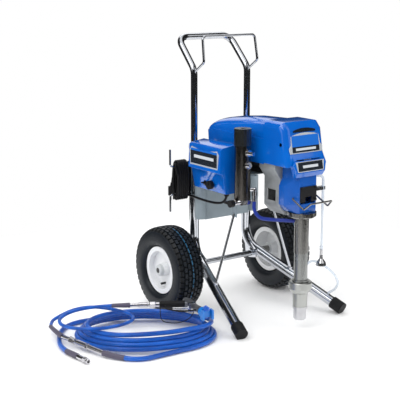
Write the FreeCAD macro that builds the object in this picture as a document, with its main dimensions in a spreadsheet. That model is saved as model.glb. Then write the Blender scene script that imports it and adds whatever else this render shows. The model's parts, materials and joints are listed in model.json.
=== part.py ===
import FreeCAD, Part
import math
import os
import re
import Sketcher
from FreeCAD import Placement, Rotation, Vector

# An airless paint sprayer on a two-wheeled cart, in millimetres. +Z is up, the pump faces -Y,
# and the origin is on the floor below the middle of the axle.

doc = FreeCAD.newDocument("paint_sprayer")
sheet = doc.addObject("Spreadsheet::Sheet", "sizes")

SIZES = {
    # cart frame
    "post_half": 125, "post_y": 24, "post_top": 606, "tube_od": 38, "tube_wall": 2,
    "bend_height": 203, "bend_radius": 90, "foot_x": 238, "foot_y": -415, "foot_height": 20,
    "foot_radius": 23, "foot_length": 48, "foot_end_wall": 6,
    "cross_radius": 11, "cross_y": -27, "cross_drop": 6, "gusset_wall": 8, "axle_radius": 8,
    "strut_radius": 5, "strut_foot_share": 0.48, "strut_top_x": 93, "strut_top_y": -183,
    "strut_top_height": 385,
    # telescopic handle and hose rack
    "handle_od": 25, "handle_wall": 2, "handle_insert": 86, "handle_bend_height": 897,
    "handle_top_y": 135, "handle_top_height": 1012, "handle_corner": 42, "collar_radius": 22,
    "collar_height": 17, "slide_gap": 0.05, "rack_radius": 4.5, "rack_low_y": -38,
    "rack_low_height": 927, "rack_top_y": -23, "rack_top_height": 1021, "rack_inset": 4,
    # wheels
    "track": 519, "tyre_radius": 162, "tyre_half": 58, "tyre_wall": 7, "rim_seat": 76,
    "rim_flange": 89, "rim_half": 42, "rim_wall": 4, "hub_radius": 24, "hub_half": 36,
    "bearing_radius": 16, "bearing_length": 14, "bearing_flange": 2, "hub_cap_radius": 21,
    "hub_cap_height": 12, "seat_gap": 0.2,
    # chassis, motor and covers
    "column_radius": 22, "column_bottom": 340, "column_top": 478,
    "panel_bottom": 332, "sheet_wall": 3, "cradle_half": 94, "cradle_top": 544,
    "cradle_front": -268, "cradle_flange": 38, "strut_tab": 30,
    "motor_radius": 68, "motor_rear": -34, "motor_front": -312, "motor_lift": 6, "motor_wall": 5,
    "stator_bore": 34, "shaft_radius": 9, "fan_radius": 44,
    "shroud_half": 90, "shroud_rear": -3, "shroud_skirt": 592, "shroud_rear_skirt": 636,
    "shroud_top_rear": 716, "shroud_top": 747, "shroud_wall": 3, "shroud_corner": 26,
    "seam_y": -340, "seam_gap": 0.6, "cover_low": 562, "cover_lip": 620, "cover_lip_y": -476,
    "cover_brow_y": -448, "cover_brow": 724, "cover_plate_y": -491, "cover_plate_low": 578,
    "badge_wall": 1.6, "badge_low": 640, "badge_top": 710, "badge_half": 66,
    # gear train and drive
    "gear_width": 18, "rotor_teeth": 12, "wheel_teeth": 48, "first_module": 1.5,
    "cluster_teeth": 14, "crank_teeth": 42, "second_module": 2, "crank_drop": 62,
    "first_gear_y": -328, "second_gear_y": -356, "case_half": 85, "case_rear": -312,
    "case_front": -398, "case_wall": 6, "case_top": 650, "case_waist": 545, "waist_half": 60,
    "case_low": 412, "crank_radius": 20, "crank_disc": 30, "crank_disc_wall": 10,
    "crank_pin": 8, "crank_pin_length": 6, "rod_length": 80, "rod_wall": 14, "rod_eye": 17,
    "drive_half": 65, "drive_front": -478, "drive_bottom": 432, "drive_top": 603, "drive_wall": 7,
    "drive_neck_half": 50,
    # fluid pump
    "pump_y": -449, "nut_height": 18, "nut_radius": 51, "nut_slots": 8, "sleeve_radius": 26,
    "sleeve_bottom": 284, "cylinder_bottom": 185, "flange_height": 7,
    "intake_radius": 41, "intake_bottom": 141, "intake_neck": 25, "neck_bottom": 86,
    "strainer_radius": 23, "strainer_bottom": 37, "seal_height": 8, "pump_wall": 5,
    "pump_rod": 11, "piston_bottom": 250, "clevis_radius": 16, "clevis_half": 15,
    # bail, drain tube
    "bail_radius": 3, "bail_half": 50, "bail_y": -458, "bail_height": 486,
    "drain_x": 84, "drain_y": -463, "drain_radius": 4.5, "drain_top": 552, "drain_bottom": 284,
    "bell_radius": 19, "bell_bottom": 224,
    # filter
    "filter_x": -134, "filter_y": -281, "filter_radius": 29, "filter_bottom": 462,
    "filter_top": 656, "filter_cap_top": 716, "filter_bore": 22, "element_radius": 15,
    "block_half": 24, "block_bottom": 446, "port_high": 632, "port_low": 588, "port_turn": 0,
    "port_radius": 6.5, "port_length": 34, "port_nut": 12, "port_nut_length": 12,
    "valve_y": -281, "valve_radius": 12, "lever_radius": 15,
    # control box
    "control_depth": 70, "control_front": -232, "chassis_width": 34,
    "control_top": 650, "label_top": 636, "label_low": 556, "control_bottom": 474,
    "control_slope": 20, "knob_y": -160, "knob_height": 500, "knob_radius": 16, "knob_length": 18,
    "switch_y": -116, "switch_half": 7, "chassis_top": 628, "chassis_bottom": 468,
    # cord hooks and hank
    "hook_radius": 3.5, "hook_reach": 90, "hook_spread": 54, "hook_middle": 490, "hook_tip": 64,
    "hank_height": 152, "hank_depth": 52, "hank_length": 74, "hank_thickness": 18,
    "cord_radius": 4.5,
}

# Places that follow from the sizes above
FORMULAS = {
    "axle_height": "tyre_radius",
    "motor_height": "cradle_top + motor_lift + motor_radius",
    "crank_height": "motor_height - crank_drop",
    "crank_pin_height": "crank_height + crank_radius",
    "clevis_height": "crank_pin_height - rod_length",
    "handle_bottom": "post_top - handle_insert",
    "rod_y_front": "pump_y - rod_wall / 2",
    "cylinder_radius": "sleeve_radius - 1.5",
    "column_y": "post_y - tube_od / 2 - column_radius - 1",
    "control_rear": "column_y - column_radius - 1",
    "control_side": "shroud_half + 4 + chassis_width",
    "label_x": "control_side + control_depth",
    "first_distance": "first_module * (rotor_teeth + wheel_teeth) / 2",
    "second_distance": "second_module * (cluster_teeth + crank_teeth) / 2",
}

for row, (alias, number) in enumerate(SIZES.items(), start=1):
    sheet.set("A%d" % row, alias)
    sheet.set("B%d" % row, str(number))
    sheet.setAlias("B%d" % row, alias)
doc.recompute()


def bound(text):
    """The expression text with each size's own name turned into its sheet reference."""
    def swap(match):
        word = match.group(0)
        if word in FORMULAS:
            return "(" + bound(FORMULAS[word]) + ")"
        return "sizes." + word if word in SIZES else word
    return re.sub(r"[a-z_]+", swap, str(text))


def value(text):
    return float(sheet.evalExpression(bound(text).replace("sizes.", "")))


def point(x, y, z):
    return Vector(value(x), value(y), value(z))


# ---------------------------------------------------------------- building blocks

PLANES = {"X": "YZ_Plane", "Y": "XZ_Plane", "Z": "XY_Plane"}
DIRECTIONS = {"X": Vector(1, 0, 0), "Y": Vector(0, 1, 0), "Z": Vector(0, 0, 1)}


def place(thing, x=0, y=0, z=0, rotation=None):
    if rotation:
        thing.Placement = Placement(Vector(), rotation)
    for letter, text in zip("xyz", (x, y, z)):
        thing.setExpression(".Placement.Base." + letter, bound(text))
    return thing


def sketch_on(body, name, axis, outline, shift="0"):
    """A closed outline; a third entry on a point makes the side that ends there an arc of that
    radius, which bulges to the left of the way it runs, or to the right when it is negative."""
    plane = [f for f in body.Origin.OriginFeatures if f.Role == PLANES[axis]][0]
    sketch = body.newObject("Sketcher::SketchObject", name)
    sketch.AttachmentSupport = [(plane, "")]
    sketch.MapMode = "FlatFace"
    sketch.setExpression(".AttachmentOffset.Base.z", bound(shift))
    spots = [(value(p[0]), value(p[1])) for p in outline]
    count = len(outline)
    ends = []
    for i in range(count):
        start = Vector(*spots[i], 0)
        stop = Vector(*spots[(i + 1) % count], 0)
        target = outline[(i + 1) % count]
        if len(target) < 3:
            sketch.addGeometry(Part.LineSegment(start, stop), False)
            ends.append((1, 2))
            continue
        radius = value(target[2])
        chord = stop - start
        normal = Vector(-chord.y, chord.x, 0).normalize()
        side = 1 if radius > 0 else -1
        rise = math.sqrt(max(0, radius ** 2 - (chord.Length / 2) ** 2))
        centre = (start + stop) / 2 - normal * side * rise
        first, last = (stop, start) if side > 0 else (start, stop)
        angles = [math.atan2((p - centre).y, (p - centre).x) for p in (first, last)]
        ring = Part.Circle(centre, Vector(0, 0, 1), abs(radius))
        index = sketch.addGeometry(Part.ArcOfCircle(ring, angles[0], angles[1]), False)
        ends.append((2, 1) if side > 0 else (1, 2))
        rule = sketch.addConstraint(Sketcher.Constraint("Radius", index, abs(radius)))
        sketch.setExpression("Constraints[%d]" % rule, bound("abs(%s)" % target[2]))
    for i in range(count):
        follower = (i + 1) % count
        sketch.addConstraint(Sketcher.Constraint("Coincident", i, ends[i][1], follower, ends[follower][0]))
    for i in range(count):
        for kind, text, number in (("DistanceX", outline[i][0], spots[i][0]),
                                   ("DistanceY", outline[i][1], spots[i][1])):
            rule = sketch.addConstraint(Sketcher.Constraint(kind, -1, 1, i, ends[i][0], number))
            sketch.setExpression("Constraints[%d]" % rule, bound(text))
    return sketch


def turned(name, outline, axis="Z", at=(0, 0, 0)):
    """A body turned about an axis; each outline point is a radius and a height along it."""
    body = doc.addObject("PartDesign::Body", name)
    sketch = sketch_on(body, name + "_outline", "Y", outline)
    turn = body.newObject("PartDesign::Revolution", name + "_turn")
    turn.Profile = sketch
    turn.ReferenceAxis = (sketch, ["V_Axis"])
    turn.Angle = 360
    body.Tip = turn
    rotation = Rotation(Vector(0, 0, 1), DIRECTIONS[axis])
    return place(body, *at, rotation=rotation)


def padded(name, axis, outline, start, stop):
    """An outline drawn square to an axis and padded between two places on that axis."""
    body = doc.addObject("PartDesign::Body", name)
    base = stop if axis == "Y" else start
    base = "-(%s)" % base if axis == "Y" else base
    sketch = sketch_on(body, name + "_outline", axis, outline, base)
    pad = body.newObject("PartDesign::Pad", name + "_pad")
    pad.Profile = sketch
    pad.setExpression("Length", bound("(%s) - (%s)" % (stop, start)))
    body.Tip = pad
    return body


def rounded(body, radius, chosen):
    """Fillets the edges of a body whose ends pass a test."""
    doc.recompute()
    pad = body.Tip
    names = []
    for number, edge in enumerate(pad.Shape.Edges, start=1):
        if chosen(edge):
            names.append("Edge%d" % number)
    fillet = body.newObject("PartDesign::Fillet", body.Name + "_fillet")
    fillet.Base = (pad, names)
    fillet.setExpression("Radius", bound(radius))
    body.Tip = fillet
    return body


def box(name, x, y, z):
    block = doc.addObject("Part::Box", name)
    for side, (low, high) in zip(("Length", "Width", "Height"), (x, y, z)):
        block.setExpression(side, bound("(%s) - (%s)" % (high, low)))
    return place(block, x[0], y[0], z[0])


def round_bar(name, axis, at, radius, start, stop):
    """A cylinder along an axis; `at` gives its two other coordinates in X, Y, Z order."""
    bar = doc.addObject("Part::Cylinder", name)
    bar.setExpression("Radius", bound(radius))
    bar.setExpression("Height", bound("(%s) - (%s)" % (stop, start)))
    spot = list(at)
    spot.insert("XYZ".index(axis), start)
    return place(bar, *spot, rotation=Rotation(Vector(0, 0, 1), DIRECTIONS[axis]))


def joined(name, pieces):
    whole = doc.addObject("Part::MultiFuse", name)
    whole.Shapes = pieces
    return whole


def grouped(name, pieces):
    group = doc.addObject("Part::Compound", name)
    group.Links = pieces
    return group


def cut(name, base, tools):
    result = doc.addObject("Part::Cut", name)
    result.Base = base
    result.Tool = tools[0] if len(tools) == 1 else joined(name + "_tools", tools)
    return result


def shaped(name, shape):
    thing = doc.addObject("Part::Feature", name)
    thing.Shape = shape
    return thing


def corner(before, here, after, radius):
    """Where an arc of this radius leaves the first run, its middle, and where it joins the next."""
    back = (before - here).normalize()
    ahead = (after - here).normalize()
    half_turn = (math.pi - back.getAngle(ahead)) / 2
    reach = radius * math.tan(half_turn)
    middle = (back + ahead).normalize()
    depth = radius / math.cos(half_turn) - radius
    return here + back * reach, here + middle * depth, here + ahead * reach


def path(points, radii):
    edges = []
    start = points[0]
    for i in range(1, len(points) - 1):
        enter, middle, leave = corner(points[i - 1], points[i], points[i + 1], radii[i - 1])
        edges.append(Part.LineSegment(start, enter).toShape())
        edges.append(Part.Arc(enter, middle, leave).toShape())
        start = leave
    edges.append(Part.LineSegment(start, points[-1]).toShape())
    return Part.Wire(edges)


def swept(points, radii, radius):
    wire = path(points, radii)
    along = (points[1] - points[0]).normalize()
    section = Part.Wire(Part.makeCircle(radius, points[0], along))
    return wire.makePipeShell([section], True, False), wire.Length


def bent_tube(name, points, radii, radius, bore=0):
    """A tube or rod bent along straight runs and tangent arcs."""
    solid, length = swept(points, radii, radius)
    if bore:
        solid = solid.cut(swept(points, radii, bore)[0])
    return shaped(name, solid)


def straight_rod(start, stop, radius):
    return Part.makeCylinder(radius, (stop - start).Length, start, stop - start)


def cord_radii(points):
    """Each bend of a cord is as large as its two runs allow."""
    radii = []
    for before, here, after in zip(points, points[1:], points[2:]):
        shorter = min((here - before).Length, (after - here).Length)
        half_turn = (here - before).getAngle(after - here) / 2
        radii.append(0.45 * shorter / math.tan(half_turn))
    return radii


def cord(name, points, radius):
    radii = cord_radii(points)
    solid, length = swept(points, radii, radius)
    exact = math.pi * radius ** 2 * length
    turns = [math.degrees((b - a).getAngle(c - b)) for a, b, c in zip(points, points[1:], points[2:])]
    print(name, "length %.0f" % length, "volume share %.4f" % (solid.Volume / exact),
          "radii", [round(r) for r in radii], "sharpest turn %.0f" % max(turns))
    return solid


# ---------------------------------------------------------------- cart frame

def leg_points(side):
    return [point(side + "post_half", "post_y", "post_top"),
            point(side + "post_half", "post_y", "bend_height"),
            point(side + "foot_x", "foot_y", "foot_height")]


def frame_tube(name, side):
    return bent_tube(name, leg_points(side), [value("bend_radius")], value("tube_od / 2"),
                     value("tube_od / 2 - tube_wall"))


def foot_cap(side):
    start, bend, foot = leg_points(side)
    along = (foot - bend).normalize()
    length = value("foot_length")
    back = foot - along * (length - value("foot_end_wall"))
    cap = Part.makeCylinder(value("foot_radius"), length, back, along)
    bore = Part.makeCylinder(value("tube_od / 2"), length - value("foot_end_wall"), back, along)
    floor = Part.makeBox(400, 400, 100, foot - Vector(200, 200, 100 + foot.z))
    return cap.cut(bore).cut(floor)


frame_left = frame_tube("frame_tube_left", "-")
frame_right = frame_tube("frame_tube_right", "")
foot_caps = shaped("foot_caps", Part.makeCompound([foot_cap("-"), foot_cap("")]))

cross_tube = round_bar("cross_tube", "X", ("cross_y", "axle_height + cross_drop"), "cross_radius",
                       "-post_half - gusset_wall", "post_half + gusset_wall")
gusset_outline = [("cross_y - cross_radius - 7", "axle_height - 10"), ("-6", "axle_height - 17"),
                  ("14", "axle_height - 12"), ("post_y + 2", "axle_height + 62"),
                  ("post_y - 12", "axle_height + 66"), ("cross_y - cross_radius - 11", "axle_height + 24")]
gussets = [padded("gusset_left", "X", gusset_outline, "-post_half - gusset_wall / 2",
                  "-post_half + gusset_wall / 2"),
           padded("gusset_right", "X", gusset_outline, "post_half - gusset_wall / 2",
                  "post_half + gusset_wall / 2")]
axle_hole = round_bar("axle_hole", "X", ("0", "axle_height"), "axle_radius", "-post_half * 2",
                      "post_half * 2")
axle_beam = cut("axle_beam", joined("axle_welded", [cross_tube] + gussets), [axle_hole])
axle_end = "track / 2 + hub_half + 5"
axle_rod = round_bar("axle_rod", "X", ("0", "axle_height"), "axle_radius", "-(%s)" % axle_end, axle_end)
axle_nuts = [round_bar("axle_nut_%s" % label, "X", ("0", "axle_height"), "axle_radius + 4", low, high)
             for label, low, high in (("left", "-track / 2 - hub_half - 5",
                                       "-track / 2 - hub_half - bearing_flange - 0.4"),
                                      ("right", "track / 2 + hub_half + bearing_flange + 0.4",
                                       "track / 2 + hub_half + 5"))]
axle_collars = [round_bar("axle_collar_%s" % label, "X", ("0", "axle_height"), "axle_radius + 5", low, high)
                for label, low, high in (("left", "-track / 2 + hub_half + bearing_flange + 0.4",
                                          "-post_half - gusset_wall / 2"),
                                         ("right", "post_half + gusset_wall / 2",
                                          "track / 2 - hub_half - bearing_flange - 0.4"))]
axle_shaft = joined("axle_shaft", [axle_rod] + axle_nuts + axle_collars)


def strut(side):
    start, bend, foot = leg_points(side)
    low = bend + (foot - bend) * value("strut_foot_share")
    low = low + Vector(0, 0, value("tube_od / 2 - 1"))
    high = point(side + "strut_top_x", "strut_top_y", "strut_top_height")
    pad = straight_rod(low - Vector(0, 0, 3), low + Vector(0, 0, 4), value("strut_radius + 4"))
    return straight_rod(low, high, value("strut_radius")).fuse(pad)


struts = shaped("struts", Part.makeCompound([strut("-"), strut("")]))

collar_outline = [("handle_od / 2 + slide_gap", "post_top - collar_height"),
                  ("tube_od / 2 - tube_wall", "post_top - collar_height"),
                  ("tube_od / 2 - tube_wall", "post_top"), ("collar_radius", "post_top"),
                  ("collar_radius", "post_top + collar_height - 3"),
                  ("collar_radius - 3", "post_top + collar_height"),
                  ("handle_od / 2 + slide_gap", "post_top + collar_height")]
handle_collars = grouped("handle_collars", [turned("collar_left", collar_outline, "Z",
                                                   ("-post_half", "post_y", 0)),
                                            turned("collar_right", collar_outline, "Z",
                                                   ("post_half", "post_y", 0))])

handle_path = [point("-post_half", "post_y", "handle_bottom"),
               point("-post_half", "post_y", "handle_bend_height"),
               point("-post_half + 3", "handle_top_y", "handle_top_height"),
               point("post_half - 3", "handle_top_y", "handle_top_height"),
               point("post_half", "post_y", "handle_bend_height"),
               point("post_half", "post_y", "handle_bottom")]
bend, round_corner = 50, value("handle_corner")
handle_solid = swept(handle_path, [bend, round_corner, round_corner, bend], value("handle_od / 2"))[0]
handle_hollow = swept(handle_path, [bend, round_corner, round_corner, bend],
                      value("handle_od / 2 - handle_wall"))[0]
guide_rings = []
for side in ("-", ""):
    foot = point(side + "post_half", "post_y", "handle_bottom")
    guide_rings.append(Part.makeCylinder(value("tube_od / 2 - tube_wall - slide_gap"), 22, foot))
handle_tube = shaped("handle_tube", handle_solid.multiFuse(guide_rings).cut(handle_hollow))

rack_path = [point("-post_half", "post_y - handle_od / 2 + 1", "handle_bend_height - 4"),
             point("-post_half", "rack_low_y", "rack_low_height"),
             point("-post_half + rack_inset", "rack_top_y", "rack_top_height"),
             point("post_half - rack_inset", "rack_top_y", "rack_top_height"),
             point("post_half", "rack_low_y", "rack_low_height"),
             point("post_half", "post_y - handle_od / 2 + 1", "handle_bend_height - 4")]
hose_rack = bent_tube("hose_rack", rack_path, [15] * 4, value("rack_radius"))

# ---------------------------------------------------------------- wheels

tyre_outline = [("rim_seat + seat_gap", "-rim_half + rim_wall + 0.4"),
                ("rim_flange + 2", "-rim_half + rim_wall + 0.4"),
                ("tyre_radius - 14", "-tyre_half + 8", "-36"), ("tyre_radius - 4.5", "-tyre_half + 16"),
                ("tyre_radius - 4.5", "tyre_half - 16", "-198"), ("tyre_radius - 14", "tyre_half - 8"),
                ("rim_flange + 2", "rim_half - rim_wall - 0.4", "-36"),
                ("rim_seat + seat_gap", "rim_half - rim_wall - 0.4"),
                ("rim_seat + seat_gap", "rim_half - rim_wall - 13"),
                ("rim_flange + 3", "rim_half - rim_wall - 11"),
                ("tyre_radius - 21", "tyre_half - 8 - tyre_wall", "34"),
                ("tyre_radius - 13", "tyre_half - 24"),
                ("tyre_radius - 13", "-tyre_half + 24", "190"),
                ("tyre_radius - 21", "-tyre_half + 8 + tyre_wall"),
                ("rim_flange + 3", "-rim_half + rim_wall + 11", "34"),
                ("rim_seat + seat_gap", "-rim_half + rim_wall + 13")]
rim_outline = [("bearing_radius", "-hub_half"), ("hub_radius", "-hub_half"), ("hub_radius", "4"),
               ("rim_seat - 18", "14"), ("rim_seat - rim_wall", "14"), ("rim_seat - rim_wall", "-rim_half"),
               ("rim_flange", "-rim_half"), ("rim_flange", "-rim_half + rim_wall"),
               ("rim_seat", "-rim_half + rim_wall"), ("rim_seat", "rim_half - rim_wall"),
               ("rim_flange", "rim_half - rim_wall"), ("rim_flange", "rim_half"),
               ("rim_seat - rim_wall", "rim_half"), ("rim_seat - rim_wall", "14 + rim_wall"),
               ("rim_seat - 18", "14 + rim_wall"), ("hub_radius", "8 + rim_wall"),
               ("hub_radius", "hub_half"), ("bearing_radius", "hub_half")]
bearing_outline = [("axle_radius + slide_gap", "0"), ("bearing_radius", "0"),
                   ("bearing_radius", "bearing_length"), ("hub_radius - 1", "bearing_length"),
                   ("hub_radius - 1", "bearing_length + bearing_flange"),
                   ("axle_radius + slide_gap", "bearing_length + bearing_flange")]
cap_outline = [("0", "hub_cap_height"), ("hub_cap_radius - 4", "hub_cap_height"),
               ("hub_cap_radius", "hub_cap_height - 4"), ("hub_cap_radius", "0"),
               ("hub_cap_radius - 3", "0"), ("hub_cap_radius - 3", "hub_cap_height - 3"),
               ("0", "hub_cap_height - 3")]


wheels = []
for name, sign in (("left", "-"), ("right", "")):
    centre = (sign + "track / 2", 0, "axle_height")
    outward = Rotation(Vector(0, 0, 1), Vector(-1 if sign else 1, 0, 0))
    inward = Rotation(Vector(0, 0, 1), Vector(1 if sign else -1, 0, 0))
    tyre = turned("wheel_%s_tyre" % name, tyre_outline)
    place(tyre, *centre, rotation=outward)
    rim_disc = turned("rim_disc_" + name, rim_outline)
    place(rim_disc, *centre, rotation=outward)
    valve_hole = round_bar("valve_hole_" + name, "X", ("0", "axle_height - rim_seat + 22"), "4.5",
                           sign + "track / 2 - rim_half", sign + "track / 2 + rim_half")
    rim = cut("wheel_%s_rim" % name, rim_disc, [valve_hole])
    stem = round_bar("valve_stem_" + name, "X", ("0", "axle_height - rim_seat + 22"), "4.4",
                     sign + "track / 2 " + ("- 36" if sign else "- 2"),
                     sign + "track / 2 " + ("+ 2" if sign else "+ 36"))
    pieces = [stem]
    for label, rotation, step in (("outer", outward, "hub_half - bearing_length"),
                                  ("inner", inward, "-(hub_half - bearing_length)")):
        bush = turned("bush_%s_%s" % (name, label), bearing_outline)
        place(bush, "%strack / 2 %s (%s)" % (sign, "-" if sign else "+", step), 0, "axle_height",
              rotation=rotation)
        pieces.append(bush)
    cap = turned("hub_cap_" + name, cap_outline)
    place(cap, "%strack / 2 %s (hub_half + bearing_flange)" % (sign, "-" if sign else "+"), 0,
          "axle_height",
          rotation=outward)
    wheels += [tyre, rim, grouped("wheel_%s_hub" % name, pieces + [cap])]

# ---------------------------------------------------------------- chassis and motor

panel_y = ("column_y - sheet_wall / 2", "column_y + sheet_wall / 2")
panel = box("chassis_panel", ("-post_half + column_radius - 2", "post_half - column_radius + 2"), panel_y,
            ("panel_bottom", "cradle_top - sheet_wall"))
columns = []
for name, sign in (("left", "-"), ("right", "")):
    at = (sign + "post_half", "column_y")
    shell = round_bar("column_shell_" + name, "Z", at, "column_radius", "column_bottom", "column_top")
    hole = round_bar("column_hole_" + name, "Z", at, "column_radius - sheet_wall", "column_bottom - 1",
                     "column_top + 1")
    columns.append(cut("column_" + name, shell, [hole]))
cradle_y = ("cradle_front", "column_y + sheet_wall / 2")
cradle = [box("cradle_plate", ("-cradle_half", "cradle_half"), cradle_y,
              ("cradle_top - sheet_wall", "cradle_top"))]
for name, low, high in (("left", "-cradle_half", "-cradle_half + sheet_wall"),
                        ("right", "cradle_half - sheet_wall", "cradle_half")):
    cradle.append(box("cradle_flange_" + name, (low, high), cradle_y,
                      ("cradle_top - cradle_flange", "cradle_top")))
    cradle.append(box("strut_tab_" + name, (low, high),
                      ("strut_top_y - strut_tab / 2", "strut_top_y + strut_tab / 2"),
                      ("strut_top_height - 12", "cradle_top")))
arm = cut("filter_arm", box("filter_arm_bar", ("filter_x + 12", "-cradle_half + sheet_wall"),
                            ("cradle_front - 8", "cradle_front + 10"),
                            ("cradle_top - 34", "cradle_top - 8")),
          [round_bar("filter_arm_seat", "Z", ("filter_x", "filter_y"), "filter_radius", "cradle_top - 35",
                     "cradle_top - 7")])
chassis = joined("motor_chassis", [panel] + columns + cradle + [arm])

motor_feet = box("motor_feet", ("-40", "40"), ("motor_front + 40", "motor_rear - 40"),
                 ("cradle_top", "motor_height - motor_radius + 12"))
motor_shell = turned("motor_shell", [("shaft_radius + 1", "motor_rear"), ("motor_radius - 8", "motor_rear"),
                                     ("motor_radius", "motor_rear - 8"),
                                     ("motor_radius", "motor_front + 8"),
                                     ("motor_radius - 8", "motor_front"),
                                     ("shaft_radius + 1", "motor_front"),
                                     ("shaft_radius + 1", "motor_front + motor_wall"),
                                     ("stator_bore", "motor_front + 30"),
                                     ("stator_bore", "motor_rear - 60"),
                                     ("shaft_radius + 1", "motor_rear - motor_wall")],
                     "Y", (0, 0, "motor_height"))
motor_housing = joined("motor_housing", [motor_shell, motor_feet])


def gear_face(teeth, module, turn):
    """Straight-sided teeth with backlash: four points a tooth, narrower at the tip."""
    outer = module * (teeth / 2 + 0.9)
    inner = module * (teeth / 2 - 1.2)
    pitch = 2 * math.pi / teeth
    corners = []
    for tooth in range(teeth):
        middle = turn + tooth * pitch
        for share, radius in ((-0.30, inner), (-0.12, outer), (0.12, outer), (0.30, inner)):
            angle = middle + share * pitch
            corners.append(Vector(radius * math.cos(angle), 0, radius * math.sin(angle)))
    return Part.Face(Part.makePolygon(corners + corners[:1]))


def gear(teeth, module, turn, x, z, front):
    solid = gear_face(teeth, module, turn).extrude(Vector(0, value("gear_width"), 0))
    solid.translate(Vector(x, front, z))
    return solid


def y_bar(x, z, radius, front, rear):
    return Part.makeCylinder(radius, rear - front, Vector(x, front, z), Vector(0, 1, 0))


motor_z = value("motor_height")
crank_z = value("crank_height")
reach = value("first_distance")
rest = value("second_distance")
drop = value("crank_drop")
cluster_rise = (drop ** 2 + rest ** 2 - reach ** 2) / (2 * drop)
cluster_x = math.sqrt(rest ** 2 - cluster_rise ** 2)
cluster_z = crank_z + cluster_rise
first_line = math.atan2(cluster_z - motor_z, cluster_x)
second_line = math.atan2(crank_z - cluster_z, -cluster_x)
rotor_teeth, wheel_teeth = int(value("rotor_teeth")), int(value("wheel_teeth"))
cluster_teeth, crank_teeth = int(value("cluster_teeth")), int(value("crank_teeth"))
first_front = value("first_gear_y - gear_width")
second_front = value("second_gear_y - gear_width")
rotor_parts = [gear(rotor_teeth, value("first_module"), first_line, 0, motor_z, first_front),
               y_bar(0, motor_z, value("shaft_radius - 4"), first_front - 6, value("first_gear_y")),
               y_bar(0, motor_z, value("shaft_radius - 3"), value("first_gear_y"), value("motor_front")),
               y_bar(0, motor_z, value("shaft_radius"), value("motor_front"), value("motor_rear + 16")),
               y_bar(0, motor_z, value("stator_bore - 1"), value("motor_front + 62"),
                     value("motor_rear - 92")),
               y_bar(0, motor_z, value("fan_radius"), value("motor_rear + 4"), value("motor_rear + 7"))]
for blade in range(9):
    fin = Part.makeBox(value("fan_radius - 20"), 9, 2, Vector(18, value("motor_rear + 6"), -1))
    fin.rotate(Vector(0, 0, 0), Vector(0, 1, 0), blade * 40)
    fin.translate(Vector(0, 0, motor_z))
    rotor_parts.append(fin)
motor_rotor = shaped("motor_rotor", rotor_parts[0].multiFuse(rotor_parts[1:]))
cluster_parts = [gear(wheel_teeth, value("first_module"), first_line + math.pi + math.pi / wheel_teeth,
                      cluster_x, cluster_z, first_front),
                 gear(cluster_teeth, value("second_module"), second_line, cluster_x, cluster_z,
                      second_front),
                 y_bar(cluster_x, cluster_z, 6, value("case_front") + 0.5, value("case_rear") - 2)]
intermediate_gear = shaped("intermediate_gear", cluster_parts[0].multiFuse(cluster_parts[1:]))
disc_rear = value("rod_y_front + rod_wall + crank_pin_length + 1")
crank_parts = [gear(crank_teeth, value("second_module"), second_line + math.pi + math.pi / crank_teeth,
                    0, crank_z, second_front),
               y_bar(0, crank_z, 12, disc_rear + value("crank_disc_wall") - 1, value("case_rear") - 8),
               y_bar(0, crank_z, value("crank_disc"), disc_rear, disc_rear + value("crank_disc_wall")),
               y_bar(0, crank_z + value("crank_radius"), value("crank_pin"),
                     disc_rear - value("crank_pin_length"),
                     disc_rear + 1)]
crank_gear = shaped("crank_gear", crank_parts[0].multiFuse(crank_parts[1:]))

# ---------------------------------------------------------------- gear case and drive housing

case_outline = [("-waist_half", "case_low + 30"), ("-waist_half + 30", "case_low"),
                ("waist_half - 30", "case_low"),
                ("waist_half", "case_low + 30"), ("waist_half", "case_waist"),
                ("case_half", "case_waist + 35"),
                ("case_half", "case_top - 14"), ("case_half - 14", "case_top"),
                ("-case_half + 14", "case_top"),
                ("-case_half", "case_top - 14"), ("-case_half", "case_waist + 35"),
                ("-waist_half", "case_waist")]
gear_room_outline = [("-waist_half + case_wall", "case_low + 36"),
                     ("waist_half - case_wall", "case_low + 36"),
                     ("waist_half - case_wall", "case_waist + 3"),
                     ("case_half - case_wall", "case_waist + 38"),
                     ("case_half - case_wall", "case_top - 16"), ("case_half - 16", "case_top - case_wall"),
                     ("-case_half + 16", "case_top - case_wall"),
                     ("-case_half + case_wall", "case_top - 16"),
                     ("-case_half + case_wall", "case_waist + 38"),
                     ("-waist_half + case_wall", "case_waist + 3")]
case_block = padded("case_block", "Y", case_outline, "case_front", "case_rear")
case_inner = ("case_front + case_wall", "case_rear - case_wall")
case_tools = [padded("case_gear_room", "Y", gear_room_outline, *case_inner),
              box("case_window", ("-waist_half - 1", "-waist_half + case_wall + 1"),
                  ("case_front + 24", "case_rear - 20"), ("case_low + 50", "case_low + 90")),
              round_bar("case_shaft_hole", "Y", ("0", "crank_height"), "13", "case_front - 1",
                        "case_front + case_wall + 1"),
              round_bar("case_motor_hole", "Y", ("0", "motor_height"), "shaft_radius + 4",
                        "case_rear - case_wall - 1",
                        "case_rear + 1")]
cluster_hole = y_bar(cluster_x, cluster_z, 6.05, value("case_front") - 3, value("case_rear") + 1)
case_tools.append(shaped("case_cluster_hole", cluster_hole))
gear_housing = cut("gear_housing", case_block, case_tools)

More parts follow.
